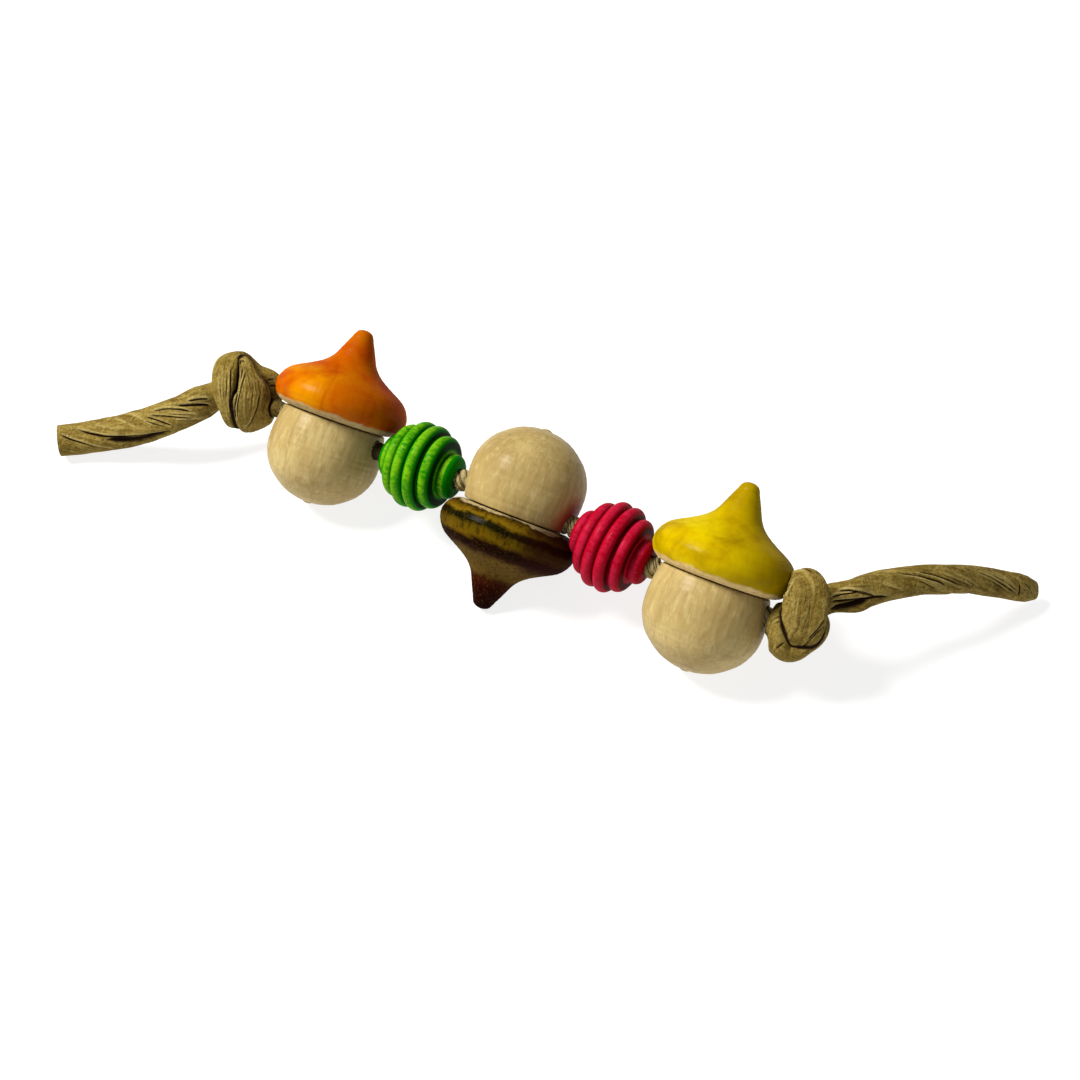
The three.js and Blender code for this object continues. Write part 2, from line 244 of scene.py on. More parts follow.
# half width and half thickness of the paper strand along the rope (control index, mm)
HALF_W = table([(iL(56), 3.8), (iL(53), 3.95), (iL(48), 4.15), (iL(43), 4.05), (iL(41), 4.0), (iL(40), 3.7), (iL(38), 3.0),
                (iL(36), 2.3), (iL(35), 1.7), (iL(34), 1.6), (iL(33), 2.2), (iL(32), 3.1), (iL(31), 4.0), (iL(30), 4.5),
                (iL(29), 4.6), (iL(28), 4.4), (iL(26), 3.6), (iL(24), 3.0), (iL(22), 2.9), (iL(20), 2.7), (iL(18), 2.8),
                (iL(17), 3.1), (iL(16), 3.5), (iL(15), 3.6), (iL(14), 3.3), (iL(13), 2.9), (iL(12), 2.5), (iL(11), 2.2),
                (iL(10), 2.0), (iL(9), 2.1), (iL(7), 2.4), (iL(5), 2.2), (iL(3), 2.0), (iL(1), 1.9), (iL(0), 1.9),
                (iR(0), 2.1), (iR(1), 2.6), (iR(3), 3.4), (iR(5), 3.2), (iR(7), 3.1), (iR(8), 3.1), (iR(10), 3.1),
                (iR(12), 3.7), (iR(13), 3.6), (iR(14), 3.0), (iR(16), 3.2), (iR(17), 3.7), (iR(18), 4.2), (iR(19), 4.5), (iR(20), 4.7),
                (iR(22), 4.5), (iR(23), 4.2), (iR(24), 3.7), (iR(25), 3.2), (iR(27), 2.9), (iR(29), 2.9), (iR(31), 3.1),
                (iR(33), 3.5), (iR(36), 3.4), (iR(40), 3.2), (iR(45), 3.1), (iR(50), 3.1), (iR(51), 3.2), (iR(52), 3.0), (iR(53), 2.2)])
HALF_T = table([(iL(56), 3.2), (iL(53), 3.3), (iL(48), 3.5), (iL(43), 3.1), (iL(40), 2.8), (iL(38), 2.3), (iL(35), 1.9),
                (iL(33), 2.0), (iL(30), 2.2), (iL(26), 2.2), (iL(20), 2.2), (iL(14), 2.2), (iL(9), 2.1), (iL(5), 2.1),
                (iL(3), 2.0), (iL(1), 1.9), (iL(0), 1.9), (iR(0), 2.1), (iR(1), 2.5), (iR(3), 2.8), (iR(8), 2.2),
                (iR(12), 2.1), (iR(16), 2.1), (iR(22), 2.2), (iR(28), 2.3), (iR(32), 2.7), (iR(36), 3.0), (iR(42), 2.9),
                (iR(50), 2.6), (iR(52), 2.1), (iR(53), 1.5)])
# the stretch inside the beads: thin in the holes, a little looser between them
x = P[:, 0]
inside = (INDEX > iL(0)) & (INDEX < iR(0))
GAPS = [(-36.7, -34.8), (-15.8, -13.8), (13.4, 15.1), (33.2, 35.0)]
loose = np.zeros_like(x)
for a, b in GAPS:
    mid, half = (a + b) / 2, (b - a) / 2
    loose = np.maximum(loose, np.clip(1 - ((x - mid) / (half * 1.15)) ** 2, 0, 1) ** 0.5)
HALF_W = np.where(inside, 1.85 + 0.55 * loose, HALF_W)
HALF_T = np.where(inside, 1.85 + 0.55 * loose, HALF_T)

# which way the flat side of the strand faces: outwards in the knots, upwards in the tails
want = np.zeros_like(P)
weight = np.zeros(len(P))
for i in range(len(P)):
    if INDEX[i] < iL(41) or INDEX[i] > iR(33):
        want[i], weight[i] = (0.25, -0.35, 0.9), 0.6
    elif INDEX[i] <= iL(5):
        want[i] = P[i] - KL
        want[i] += back * max(0.0, want[i] @ back) * 0.7
        weight[i] = min(1.0, np.linalg.norm(want[i] - (want[i] @ T[i]) * T[i]) / 4.0) ** 2
    elif INDEX[i] >= iR(5):
        want[i] = P[i] - KR
        want[i] += back * max(0.0, want[i] @ back) * 0.7
        weight[i] = min(1.0, np.linalg.norm(want[i] - (want[i] @ T[i]) * T[i]) / 4.0) ** 2
    else:
        want[i], weight[i] = (0, 0, 1), 0.3
want /= np.maximum(np.linalg.norm(want, axis=1), 1e-9)[:, None]
ang = np.arctan2(np.einsum("ij,ij->i", want, S0), np.einsum("ij,ij->i", want, R0))
z = weight * np.exp(2j * ang)
kern = np.exp(-0.5 * (np.arange(-24, 25) / 9.0) ** 2)
kern /= kern.sum()
z = np.convolve(np.pad(z, 24, mode="edge"), kern, mode="valid")
ALPHA = 0.5 * np.unwrap(np.angle(z))

# twist of the paper: turns per mm
rate = np.full(len(P), 1 / 62.0)
rate = np.where(inside, 1 / 11.0, rate)
in_knot = ((INDEX > iL(39)) & (INDEX < iL(3))) | ((INDEX > iR(3)) & (INDEX < iR(31)))
rate = np.where(in_knot, 1 / 120.0, rate)
PHI = 2 * np.pi * np.concatenate([[0], np.cumsum(rate[:-1] * np.diff(S))])

AROUND = 192
theta = np.linspace(0, 2 * np.pi, AROUND, endpoint=False)


def wrap(a):
    return (a + np.pi) % (2 * np.pi) - np.pi


def picture(V):
    """where points land in the 1080 pixel picture, and how far they are along the line of sight"""
    d = V - eye
    z_ = -(d @ back)
    return np.stack([540 + FOCAL * (d @ right) / z_, 540 - FOCAL * (d @ up) / z_], -1), z_


# folds of the paper: the line in the picture's pixels, half width, depth, raised lip (mm, also how strong its painted
# highlight is), darkness of the painted shade in the fold
FOLDS = [
    # left tail
    ([(72, 427), (89, 433), (105, 437), (122, 438), (140, 437), (159, 435), (172, 431)], 0.30, 0.60, 0.25, 1.0),
    ([(102, 440), (118, 442), (133, 443), (147, 441), (160, 437), (172, 431)], 1.00, 1.40, 0.0, 1.0),
    ([(58, 433), (69, 439), (84, 444), (96, 448), (117, 450)], 0.22, 0.40, 0.20, 0.9),
    ([(61, 455), (74, 456), (88, 455)], 0.28, 0.40, 0.15, 0.9),
    ([(145, 416), (159, 421), (174, 427)], 0.20, 0.35, 0.15, 0.9),
    ([(143, 420), (154, 424), (167, 428)], 0.16, 0.25, 0.10, 0.7),
    ([(150, 411), (166, 408), (179, 409), (192, 412)], 0.22, 0.40, 0.20, 0.9),
    ([(176, 405), (190, 405), (202, 405), (212, 406)], 0.32, 0.65, 0.25, 1.0),
    ([(186, 401), (199, 399), (210, 399)], 0.22, 0.40, 0.25, 0.9),
    ([(146, 415), (163, 416), (182, 418), (198, 419)], 0.18, 0.30, 0.15, 0.75),
    ([(128, 413), (140, 419), (154, 428)], 0.14, 0.16, 0.14, 0.35),
    ([(112, 417), (126, 424), (140, 431)], 0.14, 0.14, 0.12, 0.28),
    ([(92, 424), (104, 428), (118, 431)], 0.14, 0.14, 0.12, 0.28),
    ([(168, 414), (184, 415), (200, 415)], 0.14, 0.20, 0.16, 0.45),
    ([(174, 421), (190, 420), (206, 419)], 0.14, 0.18, 0.16, 0.40),
    # left knot
    ([(219, 372), (220, 390), (223, 408)], 0.15, 0.14, 0.12, 0.30),
    ([(224, 368), (223, 386), (224, 402)], 0.15, 0.14, 0.12, 0.30),
    ([(254, 374), (260, 381), (266, 390)], 0.15, 0.14, 0.12, 0.30),
    ([(250, 372), (256, 384), (257, 396)], 0.15, 0.14, 0.12, 0.30),
    ([(231, 366), (231, 387), (230, 406), (231, 415)], 0.20, 0.35, 0.18, 0.85),
    ([(227, 374), (227, 386), (226, 398)], 0.16, 0.20, 0.10, 0.5),
    ([(243, 366), (238, 383), (233, 408), (235, 424)], 0.34, 0.60, 0.22, 1.0),
    ([(247, 368), (241, 385), (237, 403), (237, 422)], 0.20, 0.35, 0.18, 0.85),
    ([(239, 365), (240, 360), (243, 358), (244, 362)], 0.24, 0.40, 0.15, 1.0),
    ([(261, 391), (258, 408), (251, 424), (244, 430)], 0.22, 0.40, 0.18, 0.95),
    ([(247, 388), (246, 402), (246, 420)], 0.18, 0.18, 0.16, 0.30),
    ([(253, 390), (252, 405), (249, 420)], 0.18, 0.16, 0.10, 0.3),
    ([(264, 381), (277, 378)], 0.18, 0.30, 0.12, 0.8),
    ([(266, 386), (277, 386)], 0.20, 0.35, 0.12, 0.9),
    # right knot
    ([(784, 598), (784, 588), (788, 580), (793, 573)], 0.20, 0.35, 0.18, 0.8),
    ([(788, 600), (789, 588), (794, 580), (800, 574)], 0.18, 0.28, 0.15, 0.6),
    ([(828, 616), (818, 630), (807, 641)], 0.20, 0.32, 0.15, 0.8),
    ([(829, 622), (821, 630), (809, 642), (799, 650)], 0.18, 0.28, 0.12, 0.7),
    ([(769, 620), (776, 617), (783, 616)], 0.20, 0.32, 0.12, 0.9),
    ([(770, 625), (777, 622), (783, 621)], 0.16, 0.25, 0.12, 0.8),
    ([(767, 655), (776, 649), (785, 642)], 0.18, 0.25, 0.10, 0.8),
    ([(797, 590), (796, 606), (795, 622)], 0.22, 0.10, 0.10, 0.12),
    ([(812, 592), (811, 604), (808, 618), (803, 630)], 0.22, 0.10, 0.10, 0.12),
    ([(789, 606), (789, 620), (791, 633)], 0.22, 0.10, 0.10, 0.12),
    # right tail
    ([(880, 583), (892, 588), (904, 592)], 0.14, 0.16, 0.12, 0.35),
    ([(905, 570), (925, 577), (944, 588)], 0.14, 0.16, 0.12, 0.45),
    ([(952, 572), (966, 579), (981, 589)], 0.14, 0.16, 0.12, 0.40),
    ([(990, 570), (1006, 578), (1016, 588)], 0.14, 0.18, 0.12, 0.55),
    ([(872, 573), (873, 582), (875, 592)], 0.20, 0.10, 0.10, 0.15),
    ([(918, 580), (930, 586), (941, 591)], 0.16, 0.24, 0.12, 0.7),
    ([(836, 591), (850, 590), (865, 593), (878, 597)], 0.22, 0.40, 0.22, 0.9),
    ([(827, 599), (838, 595), (859, 592)], 0.18, 0.30, 0.18, 0.8),
    ([(827, 602), (842, 601), (861, 600), (878, 597), (893, 597)], 0.28, 0.55, 0.20, 1.0),
    ([(828, 612), (842, 610), (856, 606), (870, 600)], 0.95, 1.30, 0.0, 1.0),
    ([(878, 572), (895, 570)], 0.18, 0.25, 0.10, 0.7),
    ([(894, 572), (917, 575), (940, 582), (950, 589)], 0.20, 0.36, 0.16, 0.9),
    ([(914, 570), (936, 575), (951, 581), (964, 588)], 0.20, 0.36, 0.16, 0.9),
    ([(940, 573), (957, 580), (974, 587)], 0.16, 0.25, 0.12, 0.7),
    ([(975, 570), (992, 577), (1007, 587), (1019, 596)], 0.20, 0.36, 0.16, 0.9),
    ([(977, 573), (994, 582), (1011, 594)], 0.16, 0.28, 0.12, 0.8),
    ([(983, 570), (1003, 579), (1020, 593)], 0.16, 0.28, 0.12, 0.8),
    ([(1014, 576), (1021, 583), (1020, 592), (1018, 598)], 0.26, 0.45, 0.15, 0.95),
    ([(1025, 583), (1031, 589), (1033, 595)], 0.20, 0.32, 0.12, 0.9),
]


def lay_folds(V, painted_shade, lip_highlight):
    """press the folds into the near side of the rope, painting shade along each fold and a highlight on its raised lip
    """
    n = len(P)
    axis = np.repeat(P, AROUND, axis=0)
    flat = V.reshape(-1, 3)
    out = flat - axis
    out /= np.maximum(np.linalg.norm(out, axis=1), 1e-9)[:, None]
    pix, z_ = picture(flat)
    near_side = (out @ back) > 0.05
    s_of = np.repeat(S, AROUND)
    shade_vals, lip_hl = painted_shade.reshape(-1).copy(), lip_highlight.reshape(-1).copy()
    move = np.zeros(len(flat))
    for line, w, depth, lip, dark in FOLDS:
        q = np.asarray(line, float)
        run = np.concatenate([[0], np.cumsum(np.linalg.norm(np.diff(q, axis=0), axis=1))])
        t = np.linspace(0, run[-1], int(run[-1] / 0.8) + 2)
        px = np.stack([np.interp(t, run, q[:, 0]), np.interp(t, run, q[:, 1])], 1)
        for _ in range(12):
            px[1:-1] += 0.5 * ((px[:-2] + px[2:]) / 2 - px[1:-1])
        box = near_side & (pix[:, 0] > px[:, 0].min() - 4) & (pix[:, 0] < px[:, 0].max() + 4) \
            & (pix[:, 1] > px[:, 1].min() - 4) & (pix[:, 1] < px[:, 1].max() + 4)
        ids = np.nonzero(box)[0]
        if not len(ids):
            continue
        pts, ss = [], []
        for u_ in px:
            d2 = ((pix[ids] - u_) ** 2).sum(1)
            close = np.nonzero(d2 < 2.0)[0]
            if not len(close):
                continue
            k = ids[close[np.argmin(z_[ids][close])]]
            off = u_ - pix[k]
            pts.append(flat[k] + (right * off[0] - up * off[1]) * z_[k] / FOCAL)
            ss.append(s_of[k])
        if len(pts) < 4:
            continue
        pts, ss = np.array(pts), np.array(ss)
        for _ in range(4):
            pts[1:-1] += 0.5 * ((pts[:-2] + pts[2:]) / 2 - pts[1:-1])
        frac = np.linspace(0, 1, len(pts))
        fine = np.linspace(0, 1, len(pts) * 3)
        pts = np.stack([np.interp(fine, frac, pts[:, k]) for k in range(3)], 1)
        ss = np.interp(fine, frac, ss)
        tang = np.gradient(pts, axis=0)
        tang /= np.maximum(np.linalg.norm(tang, axis=1), 1e-9)[:, None]
        reach_ = 3.2
        lo, hi = pts.min(0) - reach_, pts.max(0) + reach_
        ids = np.nonzero(((flat > lo) & (flat < hi)).all(1))[0]
        if not len(ids):
            continue
        best, which = np.full(len(ids), 1e9), np.zeros(len(ids), int)
        for k in range(len(pts)):
            d2 = ((flat[ids] - pts[k]) ** 2).sum(1) + 1e3 * (np.abs(s_of[ids] - ss[k]) > 5.0)
            m_ = d2 < best
            best[m_], which[m_] = d2[m_], k
        dist = np.sqrt(best)
        off = flat[ids] - pts[which]
        perp = np.cross(tang[which], out[ids])
        perp /= np.maximum(np.linalg.norm(perp, axis=1), 1e-9)[:, None]
        # the lip with the stronger painted highlight faces up and left in the picture, towards the key light
        if (perp @ (0.8 * up - 0.6 * right)).mean() < 0:
            perp = -perp
        side = np.einsum("ij,ij->i", off, perp)
        f = fine[which]
        taper = 0.20 if w < 0.6 else 0.30
        fade = smoothstep(f, -0.03, taper) * (1 - smoothstep(f, 1 - taper, 1.03))
        fade = np.maximum(fade, 0.0) ** 0.7
        thin = 1.22 * w * (0.3 + 0.7 * fade)
        groove = np.exp(-(dist / thin) ** 2) * fade
        lip_ = (np.exp(-dist / 0.50) * (side > 0) + 0.45 * np.exp(-dist / 0.40) * (side <= 0)) * (1 - groove) * fade
        move[ids] += -1.15 * depth * groove + 1.2 * lip * lip_
        # painted shade along the fold's line, and a painted highlight on its lip
        shade_vals[ids] = np.maximum(shade_vals[ids], dark * np.exp(-(dist / (thin * 0.84)) ** 1.8) * np.minimum(1, fade * 1.3))
        lip_hl[ids] = np.maximum(lip_hl[ids], 6.5 * lip * lip_)
    flat = flat + out * np.clip(move, -1.5, 0.6)[:, None]
    return flat.reshape(n, AROUND, 3), shade_vals.reshape(n, AROUND), lip_hl.reshape(n, AROUND)


def nearness(V, N, B, lo, hi):
    """how close each point of samples lo..hi comes to another turn of the rope: 1 touching, 0 free"""
    near = np.zeros((hi - lo, AROUND))
    j = np.arange(lo, hi, 2)
    for i in range(lo, hi):
        other = j[np.abs(S[j] - S[i]) > 6.5]
        d = V[i][:, None, :] - P[other][None]
        ax = np.abs(np.einsum("ajk,jk->aj", d, T[other]))
        dn = np.abs(np.einsum("ajk,jk->aj", d, N[other])) / HALF_T[other]
        db = np.abs(np.einsum("ajk,jk->aj", d, B[other])) / HALF_W[other]
        r = (dn ** 2.35 + db ** 2.35) ** (1 / 2.35)
        gap = (r - 1) * HALF_T[other] + np.where(ax > 0.7, 9.0, 0.0)
        near[i - lo] = gap.min(1) if gap.shape[1] else 9.0
    return 1 - smoothstep(near, -0.1, 0.75)


# how far an acorn reaches along the rope as it spins, by distance from the rope's line
REACH_RHO = [0, 3.5, 4, 5, 6, 7, 8, 9, 10, 11, 12, 14, 16]
REACH_X = [13.2, 13.5, 14.3, 15.1, 15.6, 15.7, 15.6, 15.2, 14.7, 14.0, 13.2, 11.0, 0]


def rope_surface():
    n = len(P)
    a, b = HALF_W[:, None], HALF_T[:, None]
    th = theta[None, :]
    # section measured from the flat side's direction: local x = width, local y = outward normal
    p_ = table([(iL(43), 2.35), (iL(38), 2.9), (iL(7), 2.9), (iL(3), 2.35), (iR(3), 2.35), (iR(7), 2.9), (iR(31), 2.9),
                (iR(35), 2.35)])[:, None]
    rad = (np.abs(np.cos(th) / b) ** p_ + np.abs(np.sin(th) / a) ** p_) ** (-1 / p_)
    size = (a + b) / 2
    lump = np.zeros((n, AROUND))
    g = np.random.default_rng(5)
    for k in (1, 2, 3, 4, 5):
        for _ in range(2):
            lump += (0.034 / k ** 0.6) * np.sin(k * th + 2 * np.pi * (S[:, None] / g.uniform(12, 32) * g.choice([-1, 1]) + g.random())) \
                * (0.6 + 0.4 * np.sin(2 * np.pi * (S[:, None] / g.uniform(16, 36) + g.random())))
    quiet = np.where(inside, 0.25, 1.0)[:, None]
    rad = rad * (1 + 0.6 * lump * quiet)
    ct, st = np.cos(th), np.sin(th)
    N = np.cos(ALPHA)[:, None] * R0 + np.sin(ALPHA)[:, None] * S0
    B = np.cross(T, N)
    facing = ct * (N @ back)[:, None] + st * (B @ back)[:, None]
    # the drawn folds are on the near side; the far side carries folds of the same kind
    far = np.where(inside[:, None], 1.0, 1 - smoothstep(facing, -0.15, 0.30))
    painted_shade = np.zeros((n, AROUND))
    lip_highlight = np.zeros((n, AROUND))
    folds = 8
    for k in range(folds):
        c0 = 2 * np.pi * (k + 0.6 * g.random()) / folds
        centre = c0 + PHI - ALPHA + 0.14 * wobble(S, 34, 100 + k) + 0.03 * wobble(S, 9, 200 + k)
        on = smoothstep(wobble(S, 28, 300 + k), -0.35, 0.35)
        depth = (0.30 + 0.45 * g.random()) * on
        wide = 0.20 + 0.12 * g.random() + 0.04 * wobble(S, 12, 400 + k)
        d = wrap(th - centre[:, None]) * size
        groove = np.exp(-(np.abs(d) / np.maximum(wide, 0.14)[:, None]) ** 1.7)
        side = np.exp(-np.abs(d) / 1.1) * (d > 0) * (1 - groove)
        dep = (np.where(inside, 0.45, 1.0) * depth)[:, None] * far
        rad = rad - dep * groove * np.minimum(1.0, size / 3.0) + 0.22 * dep * side
        # painted shade in the fold's groove, and a painted highlight on its raised side
        painted_shade = np.maximum(painted_shade, groove * np.minimum(1, dep * 2.0))
        lip_highlight = lip_highlight + side * dep
    # fine fold lines with painted shade in them, faint on the near side
    for k in range(10):
        c0 = 2 * np.pi * g.random()
        centre = c0 + PHI - ALPHA + 0.16 * wobble(S, 26, 500 + k)
        on = smoothstep(wobble(S, 18, 600 + k), 0.15, 0.7)[:, None] * (0.35 + 0.65 * far)
        d = wrap(th - centre[:, None]) * size
        groove = np.exp(-(np.abs(d) / 0.16) ** 1.6)
        rad = rad - 0.08 * on * groove
        painted_shade = np.maximum(painted_shade, 0.30 * groove * on)
    # two plies where the rope is squeezed, with painted shade in the valleys between them
    valley = np.exp(-(np.abs(np.cos(3 * (th - (PHI - ALPHA)[:, None]))) / 0.38) ** 2)
    painted_shade = np.maximum(painted_shade, np.where(inside[:, None], 0.55 * valley, 0.0))
    rad = rad - np.where(inside[:, None], 0.16 * valley, 0.0)
    ply = np.where(inside, 0.16, 0.0)[:, None] * np.abs(np.cos(th - (2 * PHI - ALPHA)[:, None] * 1.0))
    rad = rad + ply - np.where(inside, 0.1, 0)[:, None]
    V = P[:, None, :] + rad[..., None] * (ct[..., None] * N[:, None, :] + st[..., None] * B[:, None, :])
    V, painted_shade, lip_highlight = lay_folds(V, painted_shade, lip_highlight)
    # painted shade: where two turns press on each other the gap between them is coloured dark
    for lo, hi in ((at(iL(44)), at(iL(0))), (at(iR(0)), at(iR(37)))):
        near = nearness(V, N, B, lo, hi)
        painted_shade[lo:hi] = np.maximum(painted_shade[lo:hi], 0.85 * near)
    # painted shade deep in the gap beside the first acorn, and where the left knot meets it
    gap_shade = smoothstep(INDEX, iL(6.5), iL(4)) * (1 - smoothstep(INDEX, iL(0) + 0.2, iL(0) + 0.6)) * 0.36
    gap_shade = np.maximum(gap_shade, np.where(inside & (P[:, 0] > -38.2) & (P[:, 0] < -34.5), 0.52, 0.0))
    painted_shade = np.maximum(painted_shade, gap_shade[:, None])
    # nothing of the knots reaches into the space that the outer acorns turn in
    y_, z_ = V[..., 1], V[..., 2] - 16.42
    need = 1.006 * np.interp(np.hypot(y_, z_), REACH_RHO, REACH_X) + 0.35
    outer_l = (INDEX < iL(0))[:, None]
    outer_r = (INDEX > iR(0))[:, None]
    V[..., 0] = np.where(outer_r, np.maximum(V[..., 0], 48.35 + need), V[..., 0])
    V[..., 0] = np.where(outer_l, np.minimum(V[..., 0], -50.9 - need), V[..., 0])
    return V, rad, painted_shade, lip_highlight


def at(index):
    return int(np.argmin(np.abs(INDEX - index)))


RV, RRAD, R_PAINTED_SHADE, R_LIP_HIGHLIGHT = rope_surface()
TURN = (theta[None, :] + ALPHA[:, None] - PHI[:, None]) / (2 * np.pi)


def rope_piece(name, i0, i1, cap0, cap1):
    """samples i0..i1 of the rope as one closed mesh; cap depth in mm at either end"""
    V = RV[i0:i1 + 1].reshape(-1, 3)
    n = i1 - i0 + 1
    shade_vals = R_PAINTED_SHADE[i0:i1 + 1].ravel().copy()
    lip_hl = R_LIP_HIGHLIGHT[i0:i1 + 1].ravel()
    along = np.repeat(S[i0:i1 + 1], AROUND)
    rim = np.zeros(n * AROUND)
    faces = [grid_faces(n, AROUND)]
    extra_v, extra_c = [], []
    base = n * AROUND
    tri = []
    for end, depth in ((0, cap0), (1, cap1)):
        i = i0 if end == 0 else i1
        ring = np.arange(AROUND) + (0 if end == 0 else (n - 1) * AROUND)
        c = RV[i].mean(0)
        sgn = -1 if end == 0 else 1
        rings = [ring]
        steps = (0.93, 0.8, 0.6, 0.35) if depth else (0.5,)
        for f in steps:
            roll = 0.35 * depth * np.sin(3 * theta + 6.0 * f) * (1 - f)
            q = c + (RV[i] - c) * f * (1 + (0.05 * np.sin(2 * theta + 9 * f))[:, None] * (1 if depth else 0))
            q = q - T[i] * sgn * (depth * (1 - f) ** 0.5 + roll)[:, None]
            new = base + np.arange(AROUND)
            base += AROUND
            extra_v.append(q)
            # painted shade in the folds of the closed end
            extra_c.append(np.full(AROUND, 0.55 if depth and f < 0.9 else 0.1) + (0.4 * (np.sin(14 * f + theta) > 0.3) if depth else 0))
            rings.append(new)
        centre = base
        base += 1
        extra_v.append((c - T[i] * sgn * depth)[None])
        extra_c.append(np.array([0.8]))
        for r1, r2 in zip(rings[:-1], rings[1:]):
            k = np.arange(AROUND)
            kn = (k + 1) % AROUND
            if end == 0:
                faces.append(np.stack([r1[kn], r1[k], r2[k], r2[kn]], -1))
            else:
                faces.append(np.stack([r1[k], r1[kn], r2[kn], r2[k]], -1))
        k = np.arange(AROUND)
        kn = (k + 1) % AROUND
        last = rings[-1]
        if end == 0:
            tri.append(np.stack([last[kn], last[k], np.full(AROUND, centre)], -1))
        else:
            tri.append(np.stack([last[k], last[kn], np.full(AROUND, centre)], -1))
    V = np.vstack([V] + extra_v)
    ec = np.concatenate(extra_c)
    shade_vals = np.concatenate([shade_vals, np.clip(ec, 0, 1)])
    lip_hl = np.concatenate([lip_hl, np.zeros(len(ec))])
    along = np.concatenate([along, np.full(len(ec), 0.0)])
    turn = np.concatenate([TURN[i0:i1 + 1].ravel(), np.zeros(len(ec))])
    all_faces = list(np.vstack(faces)) + list(np.vstack(tri))
    # outward orientation: ring direction is T x (N->B), checked once with a volume test
    ob = make_mesh(name, row(V), all_faces, {"painted_shade": shade_vals, "lip_highlight": lip_hl, "along": along, "turn": turn})
    me = ob.data
    co = np.zeros(len(me.vertices) * 3); me.vertices.foreach_get("co", co); co = co.reshape(-1, 3)
    quad = np.vstack(faces)
    c0 = co.mean(0)
    vol = 0.0
    A = co[quad[:, 0]] - c0; B = co[quad[:, 1]] - c0; C = co[quad[:, 2]] - c0; D = co[quad[:, 3]] - c0
    vol = (np.einsum("ij,ij->i", A, np.cross(B, C)) + np.einsum("ij,ij->i", A, np.cross(C, D))).sum()
    if vol < 0:
        me.flip_normals()
    # keep the seams to the neighbouring pieces from being shaded round
    edge = np.zeros(len(me.edges) * 2, np.int32); me.edges.foreach_get("vertices", edge); edge = edge.reshape(-1, 2)
    ring_ids = np.zeros(len(me.vertices), bool)
    ring_ids[:AROUND] = True
    ring_ids[(n - 1) * AROUND:n * AROUND] = True
    sharp = ring_ids[edge].all(1)
    me.edges.foreach_set("use_edge_sharp", sharp) if hasattr(me.edges[0], "use_edge_sharp") else None
    return ob


n_end = len(P) - 1
cut_l = at(iL(LEFT_END) - 0.25)
cut_lc = at(iL(0))
cut_rc = at(iR(0))
cut_r = at(iR(RIGHT_END) + 0.25)
tail_left = rope_piece("paper_tail_left", 0, cut_l, 1.6, 0)
knot_left = rope_piece("paper_knot_left", cut_l, cut_lc, 0, 0)
core = rope_piece("paper_core", cut_lc, cut_rc, 0, 0)
knot_right = rope_piece("paper_knot_right", cut_rc, cut_r, 0, 0)
tail_right = rope_piece("paper_tail_right", cut_r, n_end, 0, 1.3)
for ob, node in ((tail_left, "rope_tail_left"), (knot_left, "knot_left"), (core, "rope_core"),
                 (knot_right, "knot_right"), (tail_right, "rope_tail_right")):
    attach(ob, "rope")
    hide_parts(node)

# ---------------------------------------------------------------- turned pieces
K = 1.006
CAP_PROFILE = [[0, 0], [0.12, 0.85], [0.56, 1.71], [1.3, 2.2], [2.18, 2.57], [3.83, 3.38], [5.49, 4.13],
               [7.11, 4.92], [8.53, 6.0], [9.67, 7.36], [10.61, 8.85], [11.46, 10.39], [12.29, 11.97], [13.25, 13.48],
               [14.63, 14.72], [16.3, 15.52], [17.6, 15.72], [18.7, 15.55], [19.79, 15.05], [20.7, 14.25], [21.3, 13.3],
               [21.6, 12.4]]
NUT_PROFILE = [[0.0, 11.7], [0.12, 11.95], [0.4, 12.08], [1.76, 12.45], [3.56, 12.84], [5.36, 13.08], [7.18, 13.18], [9.0, 13.13],
               [10.8, 12.84], [12.5, 12.22], [14.1, 11.37], [15.55, 10.26], [16.78, 8.9], [17.88, 7.45], [18.8, 5.9],
               [19.4, 4.24], [19.8, 2.75]]
NUT_TOP = 2.75 * K
CAP_BOTTOM = NUT_TOP + 0.3
ACORNS = {
    "acorn_1": dict(c=(-50.9, 0.0, 16.42), tilt=45.0, lean=-2.0, up=True),
    "acorn_2": dict(c=(0.0, 0.8, 17.74), tilt=42.75, lean=-1.6, up=False),
    "acorn_3": dict(c=(48.35, 0.0, 16.42), tilt=45.0, lean=-2.0, up=True),
}


def dense(profile, n):
    """smooth curve through (a, b) points, n samples"""
    p = np.asarray(profile, float)
    q, _, _ = spline(np.c_[p, np.zeros(len(p))], 0.05)
    s = np.concatenate([[0], np.cumsum(np.linalg.norm(np.diff(q, axis=0), axis=1))])
    t = np.linspace(0, s[-1], n)
    return np.stack([np.interp(t, s, q[:, 0]), np.interp(t, s, q[:, 1])], 1)


